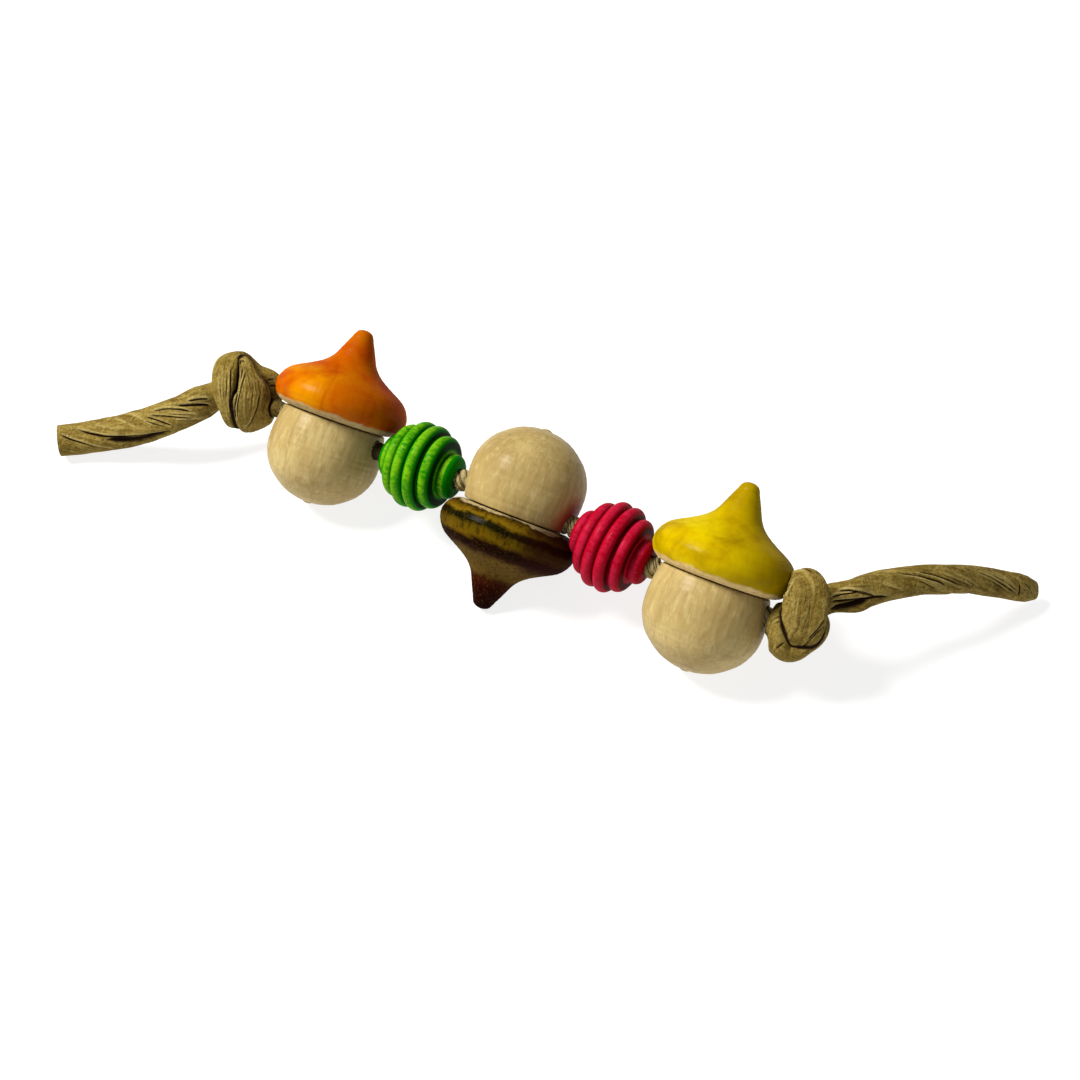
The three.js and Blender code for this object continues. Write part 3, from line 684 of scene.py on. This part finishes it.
def turned(name, heights, radii, around, seed, ripple=0.015, oval=0.03, floats=None, closed_low=True, closed_high=True):
    """a lathed skin about local +Z (mm), from the first to the last ring, closed on the axis at both ends"""
    h, r = np.asarray(heights, float), np.asarray(radii, float)
    th = np.linspace(0, 2 * np.pi, around, endpoint=False)
    rad = r[:, None] * np.ones(around)[None, :]
    run = np.concatenate([[0], np.cumsum(np.hypot(np.diff(h), np.diff(r)))])
    rad = rad + ripple * wobble(run, 1.1, seed)[:, None] * np.minimum(1, r / 2)[:, None]
    rad = rad + oval * np.minimum(1, r / 4)[:, None] * (np.sin(2 * th + seed)[None, :] + 0.5 * np.sin(3 * th + 2 * seed + 0.1 * run[:, None]))
    V = np.stack([rad * np.cos(th), rad * np.sin(th), h[:, None] + 0 * rad], -1).reshape(-1, 3)
    faces = list(grid_faces(len(h), around))
    n = len(V)
    low, high = n, n + 1
    V = np.vstack([V, [[0, 0, h[0]], [0, 0, h[-1]]]])
    k = np.arange(around)
    kn = (k + 1) % around
    up_ = h[-1] > h[0]
    first, last = k, (len(h) - 1) * around + k
    firstn, lastn = kn, (len(h) - 1) * around + kn
    faces += [list(f) for f in np.stack([firstn, first, np.full(around, low)], -1)]
    faces += [list(f) for f in np.stack([last, lastn, np.full(around, high)], -1)]
    ob = make_mesh(name, V / 1000.0, faces)
    if not up_:
        ob.data.flip_normals()
    return ob


def place(ob, spec):
    c = row(spec["c"])
    lean = math.radians(spec["lean"])
    if spec["up"]:
        rot = Matrix.Rotation(math.radians(spec["tilt"]), 4, "X") @ Matrix.Rotation(-lean, 4, "Z")
    else:
        rot = Matrix.Rotation(math.radians(spec["tilt"] + 180), 4, "X") @ Matrix.Rotation(lean, 4, "Z")
    # the piece was made about +Z; the acorn's own axis is +Y before the tilt
    rot = rot @ Matrix.Rotation(math.radians(-90), 4, "X")
    ob.matrix_world = Matrix.Translation(Vector(c.tolist())) @ rot
    return ob


def settle(ob):
    """keeps the piece's own coordinates as an attribute and moves its place into the mesh"""
    me = ob.data
    co = np.zeros(len(me.vertices) * 3, np.float32)
    me.vertices.foreach_get("co", co)
    a_ = me.attributes.new("own", "FLOAT_VECTOR", "POINT")
    a_.data.foreach_set("vector", co)
    me.transform(ob.matrix_world)
    ob.matrix_world = Matrix.Identity(4)
    me.update()


def sharpen(me, degrees):
    me.set_sharp_from_angle(angle=math.radians(degrees))


cap_curve = dense(CAP_PROFILE, 150)
nut_curve = dense(NUT_PROFILE, 130)
pieces = {}
for i, (name, spec) in enumerate(ACORNS.items()):
    s_, r_ = cap_curve[:, 0], cap_curve[:, 1]
    heights = CAP_BOTTOM + (21.6 - s_) * K
    radii = np.maximum(r_ * K, 0.02)
    # from the underside up to the tip
    hh = np.concatenate([[CAP_BOTTOM, CAP_BOTTOM], heights[::-1]])
    rr = np.concatenate([[4.0, 11.9], radii[::-1]])
    cap = turned(name + "_cap_wood", hh, rr, 176, 21 + 7 * i, ripple=0.02, oval=0.05)
    sharpen(cap.data, 40)
    place(cap, spec)
    pieces[name + "_cap"] = cap

    s_, r_ = nut_curve[:, 0], nut_curve[:, 1]
    heights = NUT_TOP - s_ * K
    radii = r_ * K
    end = heights[-1]
    hh = np.concatenate([[end - 0.52, end - 0.50, end - 0.40, end - 0.20, end - 0.09, end - 0.05], heights[::-1], [NUT_TOP]])
    rr = np.concatenate([[0.25, 0.55, 0.85, 1.15, 1.5, 2.3], radii[::-1], [5.0]])
    nut = turned(name + "_nut_wood", hh, rr, 176, 43 + 5 * i, ripple=0.02, oval=0.04)
    place(nut, spec)
    # the rope hole, drilled straight across
    bpy.ops.mesh.primitive_cylinder_add(vertices=64, radius=0.00225, depth=0.04)
    drill = bpy.context.object
    drill.name = "drill"
    drill.matrix_world = Matrix.Translation(Vector(row(spec["c"]).tolist())) @ Matrix.Rotation(math.radians(90), 4, "Y")
    mod = nut.modifiers.new("hole", "BOOLEAN")
    mod.operation = "DIFFERENCE"
    mod.solver = "EXACT"
    mod.object = drill
    bpy.context.view_layer.update()
    deps = bpy.context.evaluated_depsgraph_get()
    done = bpy.data.meshes.new_from_object(nut.evaluated_get(deps))
    nut.modifiers.clear()
    old = nut.data
    nut.data = done
    bpy.data.meshes.remove(old)
    bpy.data.objects.remove(drill)
    sharpen(nut.data, 45)
    pieces[name + "_nut"] = nut

RING_R = [5.2, 8.5, 10.0, 10.0, 8.5, 5.2]
PITCH = 2.95


def bead(name, x0, p0, p1, seed, half, pitch):
    xs = np.linspace(-half, half, 520)
    env = np.full_like(xs, 0.0)
    ring = np.zeros_like(xs)
    for i, R in enumerate(RING_R):
        c = (i - 2.5) * pitch
        w, hgt = (0.532 * pitch, 1.75)
        inner = R - hgt
        u = np.clip(1 - ((xs - c) / w) ** 2, 0, None)
        y = np.where(np.abs(xs - c) < w, inner + hgt * u ** 0.5, 0)
        ring = np.where(y > env, i, ring)
        env = np.maximum(env, y)
    body = np.interp(np.abs(xs), [0, 2.95, 5.9, 7.4, 8.7, half], [8.3, 7.4, 4.5, 4.0, 3.9, 3.5])
    env = np.maximum(env, body)
    # a soft bottom to every groove
    kern_ = np.exp(-0.5 * (np.arange(-5, 6) / 1.5) ** 2)
    kern_ /= kern_.sum()
    env = np.convolve(np.pad(env, 5, mode="edge"), kern_, mode="valid")
    crest = np.interp(xs, xs, env)
    # distance below the crest of the nearest ring, 0 on top, 1 in the groove
    top = np.array([RING_R[int(i)] for i in ring])
    low = np.clip((top - env) / 1.25, 0, 1)
    low = np.where(np.abs(xs) > 8.2, 0.45, low)
    hh = np.concatenate([xs, [half, half]])
    rr = np.concatenate([env, [2.6, 2.25]])
    hh = np.concatenate([[-half, -half], hh])
    rr = np.concatenate([[2.25, 2.6], rr])
    # bore
    hh = np.concatenate([hh, np.linspace(half, -half, 24)])
    rr = np.concatenate([rr, np.full(24, 2.25)])
    around = 168
    th = np.linspace(0, 2 * np.pi, around, endpoint=False)
    run = np.concatenate([[0], np.cumsum(np.hypot(np.diff(hh), np.diff(rr)))])
    rad = rr[:, None] + (0.03 * wobble(run, 2.0, seed)[:, None] + 0.05 * np.sin(2 * th + seed)[None, :]
                         + 0.03 * np.sin(3 * th + 0.5 * run[:, None])) * (rr > 3.0)[:, None]
    shift = 0.05 * np.sin(th + seed)[None, :] * (rr > 3.0)[:, None]
    V = np.stack([rad * np.cos(th), rad * np.sin(th), hh[:, None] + shift], -1).reshape(-1, 3)
    faces = grid_faces(len(hh), around)
    # join the last ring to the first
    V = V[:-around]
    faces = np.where(faces >= (len(hh) - 1) * around, faces - (len(hh) - 1) * around, faces)
    lowa = np.concatenate([[0.8, 0.5], low, [0.5, 0.8], np.full(24, 1.0)])[:-1]
    ob = make_mesh(name, V / 1000.0, faces, {"low": np.repeat(lowa, around)})
    ob.data.flip_normals()
    sharpen(ob.data, 50)
    p0, p1 = np.asarray(p0, float), np.asarray(p1, float)
    d = (p1 - p0) / np.linalg.norm(p1 - p0)
    c = p0 + d * ((x0 - p0[0]) / d[0])
    q = Vector((0, 0, 1)).rotation_difference(Vector(d.tolist()))
    ob.matrix_world = Matrix.Translation(Vector(row(c).tolist())) @ q.to_matrix().to_4x4()
    return ob


pieces["bead_green"] = bead("ringed_bead_green", -25.7, (-38.3, 0, 16.42), (-12.6, 0.8, 17.74), 3, 9.5, 3.08)
pieces["bead_red"] = bead("ringed_bead_red", 24.13, (12.6, 0.8, 17.74), (35.75, 0, 16.42), 8, 8.9, PITCH)


# ---------------------------------------------------------------- materials
class Nodes:
    """short hand for building one material"""

    def __init__(self, name, own=True):
        self.own = own
        self.mat = bpy.data.materials.new(name)
        self.mat.use_nodes = True
        self.t = self.mat.node_tree
        self.t.nodes.clear()
        self.out = self.t.nodes.new("ShaderNodeOutputMaterial")
        self.b = self.t.nodes.new("ShaderNodeBsdfPrincipled")
        self.t.links.new(self.b.outputs["BSDF"], self.out.inputs["Surface"])

    def link(self, a, b):
        self.t.links.new(a, b)
        return b

    def put(self, node, key, value):
        if value is None:
            return
        sock = node.inputs[key]
        if isinstance(value, bpy.types.NodeSocket):
            self.t.links.new(value, sock)
        else:
            sock.default_value = value

    def obj(self, scale=(1, 1, 1), rot=(0, 0, 0), loc=(0, 0, 0)):
        mp = self.t.nodes.new("ShaderNodeMapping")
        if self.own:
            c = self.t.nodes.new("ShaderNodeAttribute")
            c.attribute_name = "own"
            self.link(c.outputs["Vector"], mp.inputs["Vector"])
        else:
            c = self.t.nodes.new("ShaderNodeTexCoord")
            self.link(c.outputs["Object"], mp.inputs["Vector"])
        mp.inputs["Scale"].default_value = scale
        mp.inputs["Rotation"].default_value = rot
        mp.inputs["Location"].default_value = loc
        return mp.outputs["Vector"]

    def noise(self, vec, scale, detail=3.0, rough=0.5, distort=0.0):
        n = self.t.nodes.new("ShaderNodeTexNoise")
        self.link(vec, n.inputs["Vector"])
        n.inputs["Scale"].default_value = scale
        n.inputs["Detail"].default_value = detail
        n.inputs["Roughness"].default_value = rough
        n.inputs["Distortion"].default_value = distort
        return n.outputs["Fac"]

    def ramp(self, fac, stops, interp="LINEAR"):
        r = self.t.nodes.new("ShaderNodeValToRGB")
        r.color_ramp.interpolation = interp
        e_ = r.color_ramp.elements
        while len(e_) > 1:
            e_.remove(e_[-1])
        for i, (pos, col) in enumerate(stops):
            el = e_[0] if i == 0 else e_.new(pos)
            el.position = pos
            el.color = (*col, 1.0) if len(col) == 3 else col
        self.link(fac, r.inputs["Fac"])
        return r.outputs["Color"]

    def math(self, op, a, b=None, c=None, clamp=False):
        n = self.t.nodes.new("ShaderNodeMath")
        n.operation = op
        n.use_clamp = clamp
        for i, v in enumerate((a, b, c)):
            if v is None:
                continue
            if isinstance(v, bpy.types.NodeSocket):
                self.link(v, n.inputs[i])
            else:
                n.inputs[i].default_value = v
        return n.outputs[0]

    def remap(self, v, a, b, c=0.0, d=1.0, smooth=True):
        n = self.t.nodes.new("ShaderNodeMapRange")
        n.interpolation_type = "SMOOTHSTEP" if smooth else "LINEAR"
        self.link(v, n.inputs["Value"])
        for key, val in (("From Min", a), ("From Max", b), ("To Min", c), ("To Max", d)):
            n.inputs[key].default_value = val
        return n.outputs["Result"]

    def mix(self, fac, a, b, blend="MIX"):
        n = self.t.nodes.new("ShaderNodeMix")
        n.data_type = "RGBA"
        n.blend_type = blend
        n.clamp_factor = True
        for key, v in ((0, fac), (6, a), (7, b)):
            if isinstance(v, bpy.types.NodeSocket):
                self.link(v, n.inputs[key])
            elif key == 0:
                n.inputs[0].default_value = v
            else:
                n.inputs[key].default_value = (*v, 1.0)
        return n.outputs[2]

    def attr(self, name):
        n = self.t.nodes.new("ShaderNodeAttribute")
        n.attribute_name = name
        return n.outputs["Fac"]

    def xyz(self, vec):
        n = self.t.nodes.new("ShaderNodeSeparateXYZ")
        self.link(vec, n.inputs[0])
        return n.outputs

    def bump(self, height, strength, distance):
        n = self.t.nodes.new("ShaderNodeBump")
        n.inputs["Strength"].default_value = strength
        n.inputs["Distance"].default_value = distance
        self.link(height, n.inputs["Height"])
        self.link(n.outputs["Normal"], self.b.inputs["Normal"])

    def finish(self, colour, rough=0.5, coat=0.0, coat_rough=0.15, spec=0.5, tone=None):
        if tone:
            colour = self.mix(1.0, colour, tone, "MULTIPLY")
        self.put(self.b, "Base Color", colour)
        self.put(self.b, "Roughness", rough)
        self.b.inputs["Coat Weight"].default_value = coat
        self.b.inputs["Coat Roughness"].default_value = coat_rough
        self.b.inputs["Specular IOR Level"].default_value = spec
        return self.mat


def srgb(r, g, b):
    f = lambda c: (c / 255 / 12.92) if c / 255 <= 0.04045 else ((c / 255 + 0.055) / 1.055) ** 2.4
    return (f(r), f(g), f(b))


def rings(n, off, scale, tilt=(0.06, 0.04, 0), distort=1.4):
    """growth rings about a pith line beside the piece; metres in, 0..1 out"""
    v = n.obj(scale=(1, 1, 0.35), rot=tilt, loc=off)
    w = n.t.nodes.new("ShaderNodeTexWave")
    w.wave_type = "RINGS"
    w.rings_direction = "Z"
    w.wave_profile = "SAW"
    n.link(v, w.inputs["Vector"])
    w.inputs["Scale"].default_value = scale
    w.inputs["Distortion"].default_value = distort
    w.inputs["Detail"].default_value = 2.5
    w.inputs["Detail Scale"].default_value = 1.6
    w.inputs["Detail Roughness"].default_value = 0.55
    return w.outputs["Fac"]


def stained_cap(name, light, mid, deep, line, off, seed_shift, tone, pale=srgb(226, 196, 142)):
    n = Nodes(name)
    here = n.obj(loc=(seed_shift, seed_shift * 0.7, 0))
    x_, y_, z_ = n.xyz(n.obj())
    grain = rings(n, off, 34.0, distort=0.9)
    streak = n.noise(n.obj(scale=(1, 1, 0.10), loc=(seed_shift, 0, 0)), 900, 4, 0.6)
    speck = n.noise(here, 2600, 3, 0.65)
    cloud = n.noise(here, 95, 4, 0.55, 0.4)
    col = n.ramp(cloud, [(0.27, deep), (0.45, mid), (0.64, light)])
    col = n.mix(n.remap(grain, 0.86, 0.99, 0, 0.16), col, line)
    col = n.mix(n.remap(streak, 0.45, 0.75, 0, 0.22), col, deep)
    col = n.mix(n.remap(speck, 0.5, 0.75, 0, 0.18), col, light)
    # painted shade: darker towards +x, the side away from the key light
    side_shade = n.math("ADD", x_, n.math("MULTIPLY", n.math("SUBTRACT", cloud, 0.5), 0.010))
    col = n.mix(n.remap(side_shade, 0.000, 0.0135, 0, 0.55), col, deep)
    # end grain of the tip drinks more stain
    col = n.mix(n.remap(z_, 0.0105, 0.0215, 0, 0.55), col, deep)
    # bare strip along the lower edge
    edge = n.math("ADD", z_, n.math("MULTIPLY", n.math("SUBTRACT", n.noise(here, 260, 3, 0.6), 0.5), 0.0016))
    strip = n.remap(edge, 0.0040, 0.0047, 1, 0)
    barecol = n.mix(n.remap(streak, 0.4, 0.7, 0, 0.6), pale, srgb(186, 150, 98))
    col = n.mix(strip, col, barecol)
    n.bump(n.math("ADD", n.math("MULTIPLY", streak, 0.6), n.math("MULTIPLY", speck, 0.4)), 0.22, 0.00022)
    return n.finish(col, rough=n.remap(speck, 0.3, 0.7, 0.36, 0.5), coat=0.055, coat_rough=0.26, spec=0.0, tone=tone)


def brown_cap():
    n = Nodes("stain_brown_streaked")
    here = n.obj(loc=(0.3, 0.1, 0))
    x_, y_, z_ = n.xyz(n.obj())
    big = n.noise(here, 170, 4, 0.6, 0.6)
    fine = n.noise(n.obj(scale=(1, 1, 0.16)), 1300, 4, 0.65)
    speck = n.noise(here, 2400, 3, 0.7)
    # distance from the tip in millimetres, pushed about by the noise
    s = n.math("SUBTRACT", (CAP_BOTTOM + 21.6 * K) / 1000.0, z_)
    s = n.math("MULTIPLY", s, 1000.0)
    s = n.math("ADD", s, n.math("MULTIPLY", n.math("SUBTRACT", big, 0.5), 3.0))
    f = n.math("DIVIDE", s, 22.5, clamp=True)
    col = n.ramp(f, [(0.0, srgb(24, 4, 2)), (0.22, srgb(46, 6, 2)), (0.30, srgb(62, 20, 4)), (0.36, srgb(104, 78, 30)),
                     (0.50, srgb(112, 86, 36)), (0.56, srgb(48, 14, 2)), (0.60, srgb(24, 4, 0)), (0.645, srgb(34, 10, 0)),
                     (0.69, srgb(112, 84, 6)), (0.76, srgb(92, 72, 8)), (0.80, srgb(20, 20, 4)), (0.845, srgb(26, 24, 4)),
                     (0.875, srgb(132, 102, 16)), (0.915, srgb(96, 70, 8)), (0.936, srgb(36, 24, 6)), (0.950, srgb(208, 184, 138)),
                     (1.0, srgb(222, 198, 154))])
    dark = n.mix(1.0, col, (0.30, 0.24, 0.18), "MULTIPLY")
    col = n.mix(n.remap(fine, 0.46, 0.68, 0, 0.75), col, dark)
    col = n.mix(n.remap(speck, 0.52, 0.72, 0, 0.26), col, srgb(150, 112, 34))
    push = n.math("MULTIPLY", n.math("SUBTRACT", big, 0.5), 0.010)
    # painted shade: the cap darkens towards both sides along x, its left and right edges
    side = n.math("MAXIMUM", n.remap(n.math("ADD", x_, push), 0.0055, 0.0135, 0, 0.9),
                  n.remap(n.math("ADD", n.math("MULTIPLY", x_, -1.0), push), 0.0095, 0.0155, 0, 0.8))
    col = n.mix(side, col, n.mix(0.65, dark, srgb(52, 14, 8)))
    n.bump(n.math("ADD", n.math("MULTIPLY", fine, 0.6), n.math("MULTIPLY", speck, 0.4)), 0.25, 0.00022)
    return n.finish(col, rough=n.remap(speck, 0.3, 0.7, 0.42, 0.58), coat=0.03, coat_rough=0.24, spec=0.0, tone=(0.64, 0.64, 0.58))


def birch(name, off, shift, dye=None):
    n = Nodes(name)
    here = n.obj(loc=(shift, shift, 0))
    grain = rings(n, off, 48.0, distort=2.2)
    streak = n.noise(n.obj(scale=(1, 1, 0.12), loc=(shift, 0, 0)), 780, 5, 0.62)
    fleck = n.noise(n.obj(scale=(1, 1, 0.30), loc=(0, shift, 0)), 2300, 3, 0.7)
    cloud = n.noise(here, 70, 3, 0.5)
    col = n.ramp(cloud, [(0.3, srgb(164, 138, 88)), (0.52, srgb(184, 158, 106)), (0.75, srgb(202, 178, 126))])
    curl = n.noise(n.obj(scale=(1, 1, 0.30), loc=(shift, shift, 0)), 900, 4, 0.62, 0.9)
    col = n.mix(n.remap(streak, 0.44, 0.70, 0, 0.36), col, srgb(148, 120, 70))
    col = n.mix(n.remap(grain, 0.80, 0.99, 0, 0.22), col, srgb(136, 108, 62))
    col = n.mix(n.remap(curl, 0.50, 0.70, 0, 0.25), col, srgb(230, 213, 168))
    col = n.mix(n.remap(curl, 0.47, 0.30, 0, 0.26), col, srgb(134, 108, 58))
    col = n.mix(n.remap(fleck, 0.56, 0.74, 0, 0.16), col, srgb(228, 210, 168))
    if dye:
        at_, amount, tint = dye
        d = n.t.nodes.new("ShaderNodeVectorMath")
        d.operation = "DISTANCE"
        n.link(n.obj(), d.inputs[0])
        d.inputs[1].default_value = at_
        col = n.mix(n.remap(d.outputs["Value"], 0.0078, 0.0026, 0, amount), col, tint)
    n.bump(n.math("ADD", n.math("MULTIPLY", streak, 0.5), n.math("MULTIPLY", fleck, 0.5)), 0.22, 0.0002)
    return n.finish(col, rough=n.remap(fleck, 0.3, 0.7, 0.40, 0.56), coat=0.07, coat_rough=0.2, spec=0.06, tone=(0.78, 0.79, 0.70))


def ringed(name, groove, body, worn, flecks, shift, tone):
    n = Nodes(name)
    here = n.obj(loc=(shift, 0, 0))
    low = n.attr("low")
    fibre = n.noise(n.obj(scale=(1, 1, 0.35), loc=(shift, 0, 0)), 1500, 4, 0.68)
    cloud = n.noise(here, 210, 4, 0.6)
    pit = n.noise(here, 2100, 2, 0.5)
    # painted shade: the colour darkens into the grooves between the rings and inside the bore
    col = n.mix(n.remap(low, 0.42, 0.98, 0, 1), body, groove)
    wear = n.math("MULTIPLY", n.remap(low, 0.42, 0.02, 0, 1), n.remap(n.math("ADD", n.math("MULTIPLY", fibre, 0.6), n.math("MULTIPLY", cloud, 0.4)), 0.36, 0.60, 0, 1))
    col = n.mix(n.math("MULTIPLY", wear, 0.85), col, worn)
    col = n.mix(n.remap(pit, 0.735, 0.80, 0, 0.85), col, flecks)
    n.bump(n.math("ADD", n.math("MULTIPLY", fibre, 0.7), n.math("MULTIPLY", pit, 0.3)), 0.35, 0.00025)
    return n.finish(col, rough=n.remap(fibre, 0.3, 0.7, 0.48, 0.64), coat=0.02, coat_rough=0.2, spec=0.02, tone=tone)


def kraft(name, light=0.0):
    n = Nodes(name, own=False)
    here = n.obj()
    painted_shade = n.attr("painted_shade")
    lip_highlight = n.attr("lip_highlight")
    fibre = n.noise(here, 1500, 4, 0.7, 0.6)
    cloud = n.noise(here, 160, 4, 0.6)
    blot = n.noise(here, 520, 3, 0.6)
    turn = n.attr("turn")
    along = n.attr("along")
    comb = n.t.nodes.new("ShaderNodeCombineXYZ")
    ang = n.math("MULTIPLY", turn, 2 * math.pi)
    n.link(n.math("MULTIPLY", n.math("COSINE", ang), 3.2), comb.inputs[0])
    n.link(n.math("MULTIPLY", n.math("SINE", ang), 3.2), comb.inputs[1])
    n.link(n.math("MULTIPLY", along, 0.10), comb.inputs[2])
    fold = n.noise(comb.outputs[0], 1.5, 5, 0.66, 0.25)
    base = n.ramp(cloud, [(0.28, srgb(108, 88, 36)), (0.5, srgb(136, 114, 54)), (0.75, srgb(162, 140, 78))])
    base = n.mix(n.remap(blot, 0.48, 0.70, 0, 0.35), base, srgb(104, 82, 38))
    wrinkle = n.noise(here, 620, 4, 0.6, 1.4)
    base = n.mix(n.remap(wrinkle, 0.50, 0.64, 0, 0.46), base, srgb(188, 166, 104))
    base = n.mix(n.remap(wrinkle, 0.47, 0.34, 0, 0.46), base, srgb(84, 64, 20))
    base = n.mix(n.remap(fibre, 0.52, 0.74, 0, 0.40), base, srgb(196, 174, 116))
    base = n.mix(n.remap(fold, 0.52, 0.70, 0, 0.55), base, srgb(198, 176, 112))
    base = n.mix(n.remap(fold, 0.48, 0.30, 0, 0.60), base, srgb(74, 54, 16))
    # painted highlight on the raised lips of the folds
    base = n.mix(n.remap(lip_highlight, 0.10, 0.7, 0, 0.80), base, srgb(216, 196, 138))
    if light:
        base = n.mix(light, base, srgb(226, 210, 172))
    # painted shade in the folds, between the plies and where turns of the rope touch
    base = n.mix(n.remap(painted_shade, 0.10, 0.60, 0, 0.98), base, srgb(30, 9, 5))
    n.bump(n.math("ADD", n.math("MULTIPLY", fold, 0.8), n.math("ADD", n.math("MULTIPLY", fibre, 0.35), n.math("MULTIPLY", wrinkle, 0.9))), 0.95, 0.0007)
    return n.finish(base, rough=0.80, spec=0.06, tone=(0.76, 0.74, 0.57))


MATS = {
    "acorn_1_cap": stained_cap("stain_orange", srgb(246, 156, 0), srgb(226, 112, 0), srgb(186, 50, 0), srgb(140, 32, 0), (0.014, 0.019, 0), 0.1, (0.54, 0.54, 0.5)),
    "acorn_2_cap": brown_cap(),
    "acorn_3_cap": stained_cap("stain_yellow", srgb(214, 188, 0), srgb(190, 158, 0), srgb(134, 106, 0), srgb(122, 94, 0), (-0.004, 0.024, 0), 0.5, (0.80, 0.80, 0.7)),
    "acorn_1_nut": birch("birch_plain_1", (0.021, 0.012, 0), 0.2),
    "acorn_2_nut": birch("birch_plain_2", (0.010, -0.022, 0), 0.6, dye=((0.0132, 0.0, 0.0), 0.95, srgb(150, 44, 38))),
    "acorn_3_nut": birch("birch_plain_3", (-0.019, 0.014, 0), 0.9),
    "bead_green": ringed("stain_green", srgb(0, 46, 0), srgb(8, 132, 0), srgb(134, 194, 22), srgb(186, 214, 80), 0.3, (0.66, 0.68, 0.6)),
    "bead_red": ringed("stain_red", srgb(84, 0, 10), srgb(180, 0, 34), srgb(212, 38, 76), srgb(240, 200, 196), 0.7, (0.64, 0.52, 0.56)),
}
PAPER = kraft("kraft_paper")
PAPER_CORE = kraft("kraft_paper_squeezed", 0.60)
BODY = {"acorn_1_cap": "acorn_1", "acorn_1_nut": "acorn_1", "acorn_2_cap": "acorn_2", "acorn_2_nut": "acorn_2",
        "acorn_3_cap": "acorn_3", "acorn_3_nut": "acorn_3", "bead_green": "ringed_green", "bead_red": "ringed_red"}
for node, ob in pieces.items():
    settle(ob)
    ob.data.materials.clear()
    ob.data.materials.append(MATS[node])
    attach(ob, BODY[node])
    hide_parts(node)
for ob in (tail_left, knot_left, knot_right, tail_right):
    ob.data.materials.append(PAPER)
core.data.materials.append(PAPER_CORE)

# ---------------------------------------------------------------- floor and light
bpy.ops.mesh.primitive_plane_add(size=6.0, location=(0, 0, -0.0002))
floor = bpy.context.object
floor.name = "floor"
fm = Nodes("floor_white", own=False)
fm.finish((0.30, 0.30, 0.30, 1.0), rough=0.9, spec=0.0)
fm.b.inputs["Emission Color"].default_value = (1.0, 1.0, 1.0, 1.0)
fm.b.inputs["Emission Strength"].default_value = 0.81
floor.data.materials.append(fm.mat)

world = bpy.data.worlds.new("studio")
bpy.context.scene.world = world
world.use_nodes = True
bg = world.node_tree.nodes["Background"]
bg.inputs["Color"].default_value = (1.0, 1.0, 1.0, 1.0)
bg.inputs["Strength"].default_value = 0.24


def lamp(name, toward, dist, size, power, colour=(1, 1, 1)):
    d = bpy.data.lights.new(name, "AREA")
    d.shape = "DISK"
    d.size = size
    d.energy = power
    d.color = colour
    ob = bpy.data.objects.new(name, d)
    bpy.context.scene.collection.objects.link(ob)
    v = Vector(toward).normalized()
    ob.location = v * dist
    ob.rotation_euler = v.to_track_quat("Z", "Y").to_euler()
    return ob


lamp("key", (-0.55, -0.22, 0.80), 1.44, 0.54, 38.0, (1.0, 0.99, 0.95))
lamp("fill", (0.6, -0.7, 0.5), 1.2, 0.6, 0.8)

scene = bpy.context.scene
scene.view_settings.view_transform = "Standard"
scene.view_settings.look = "None"

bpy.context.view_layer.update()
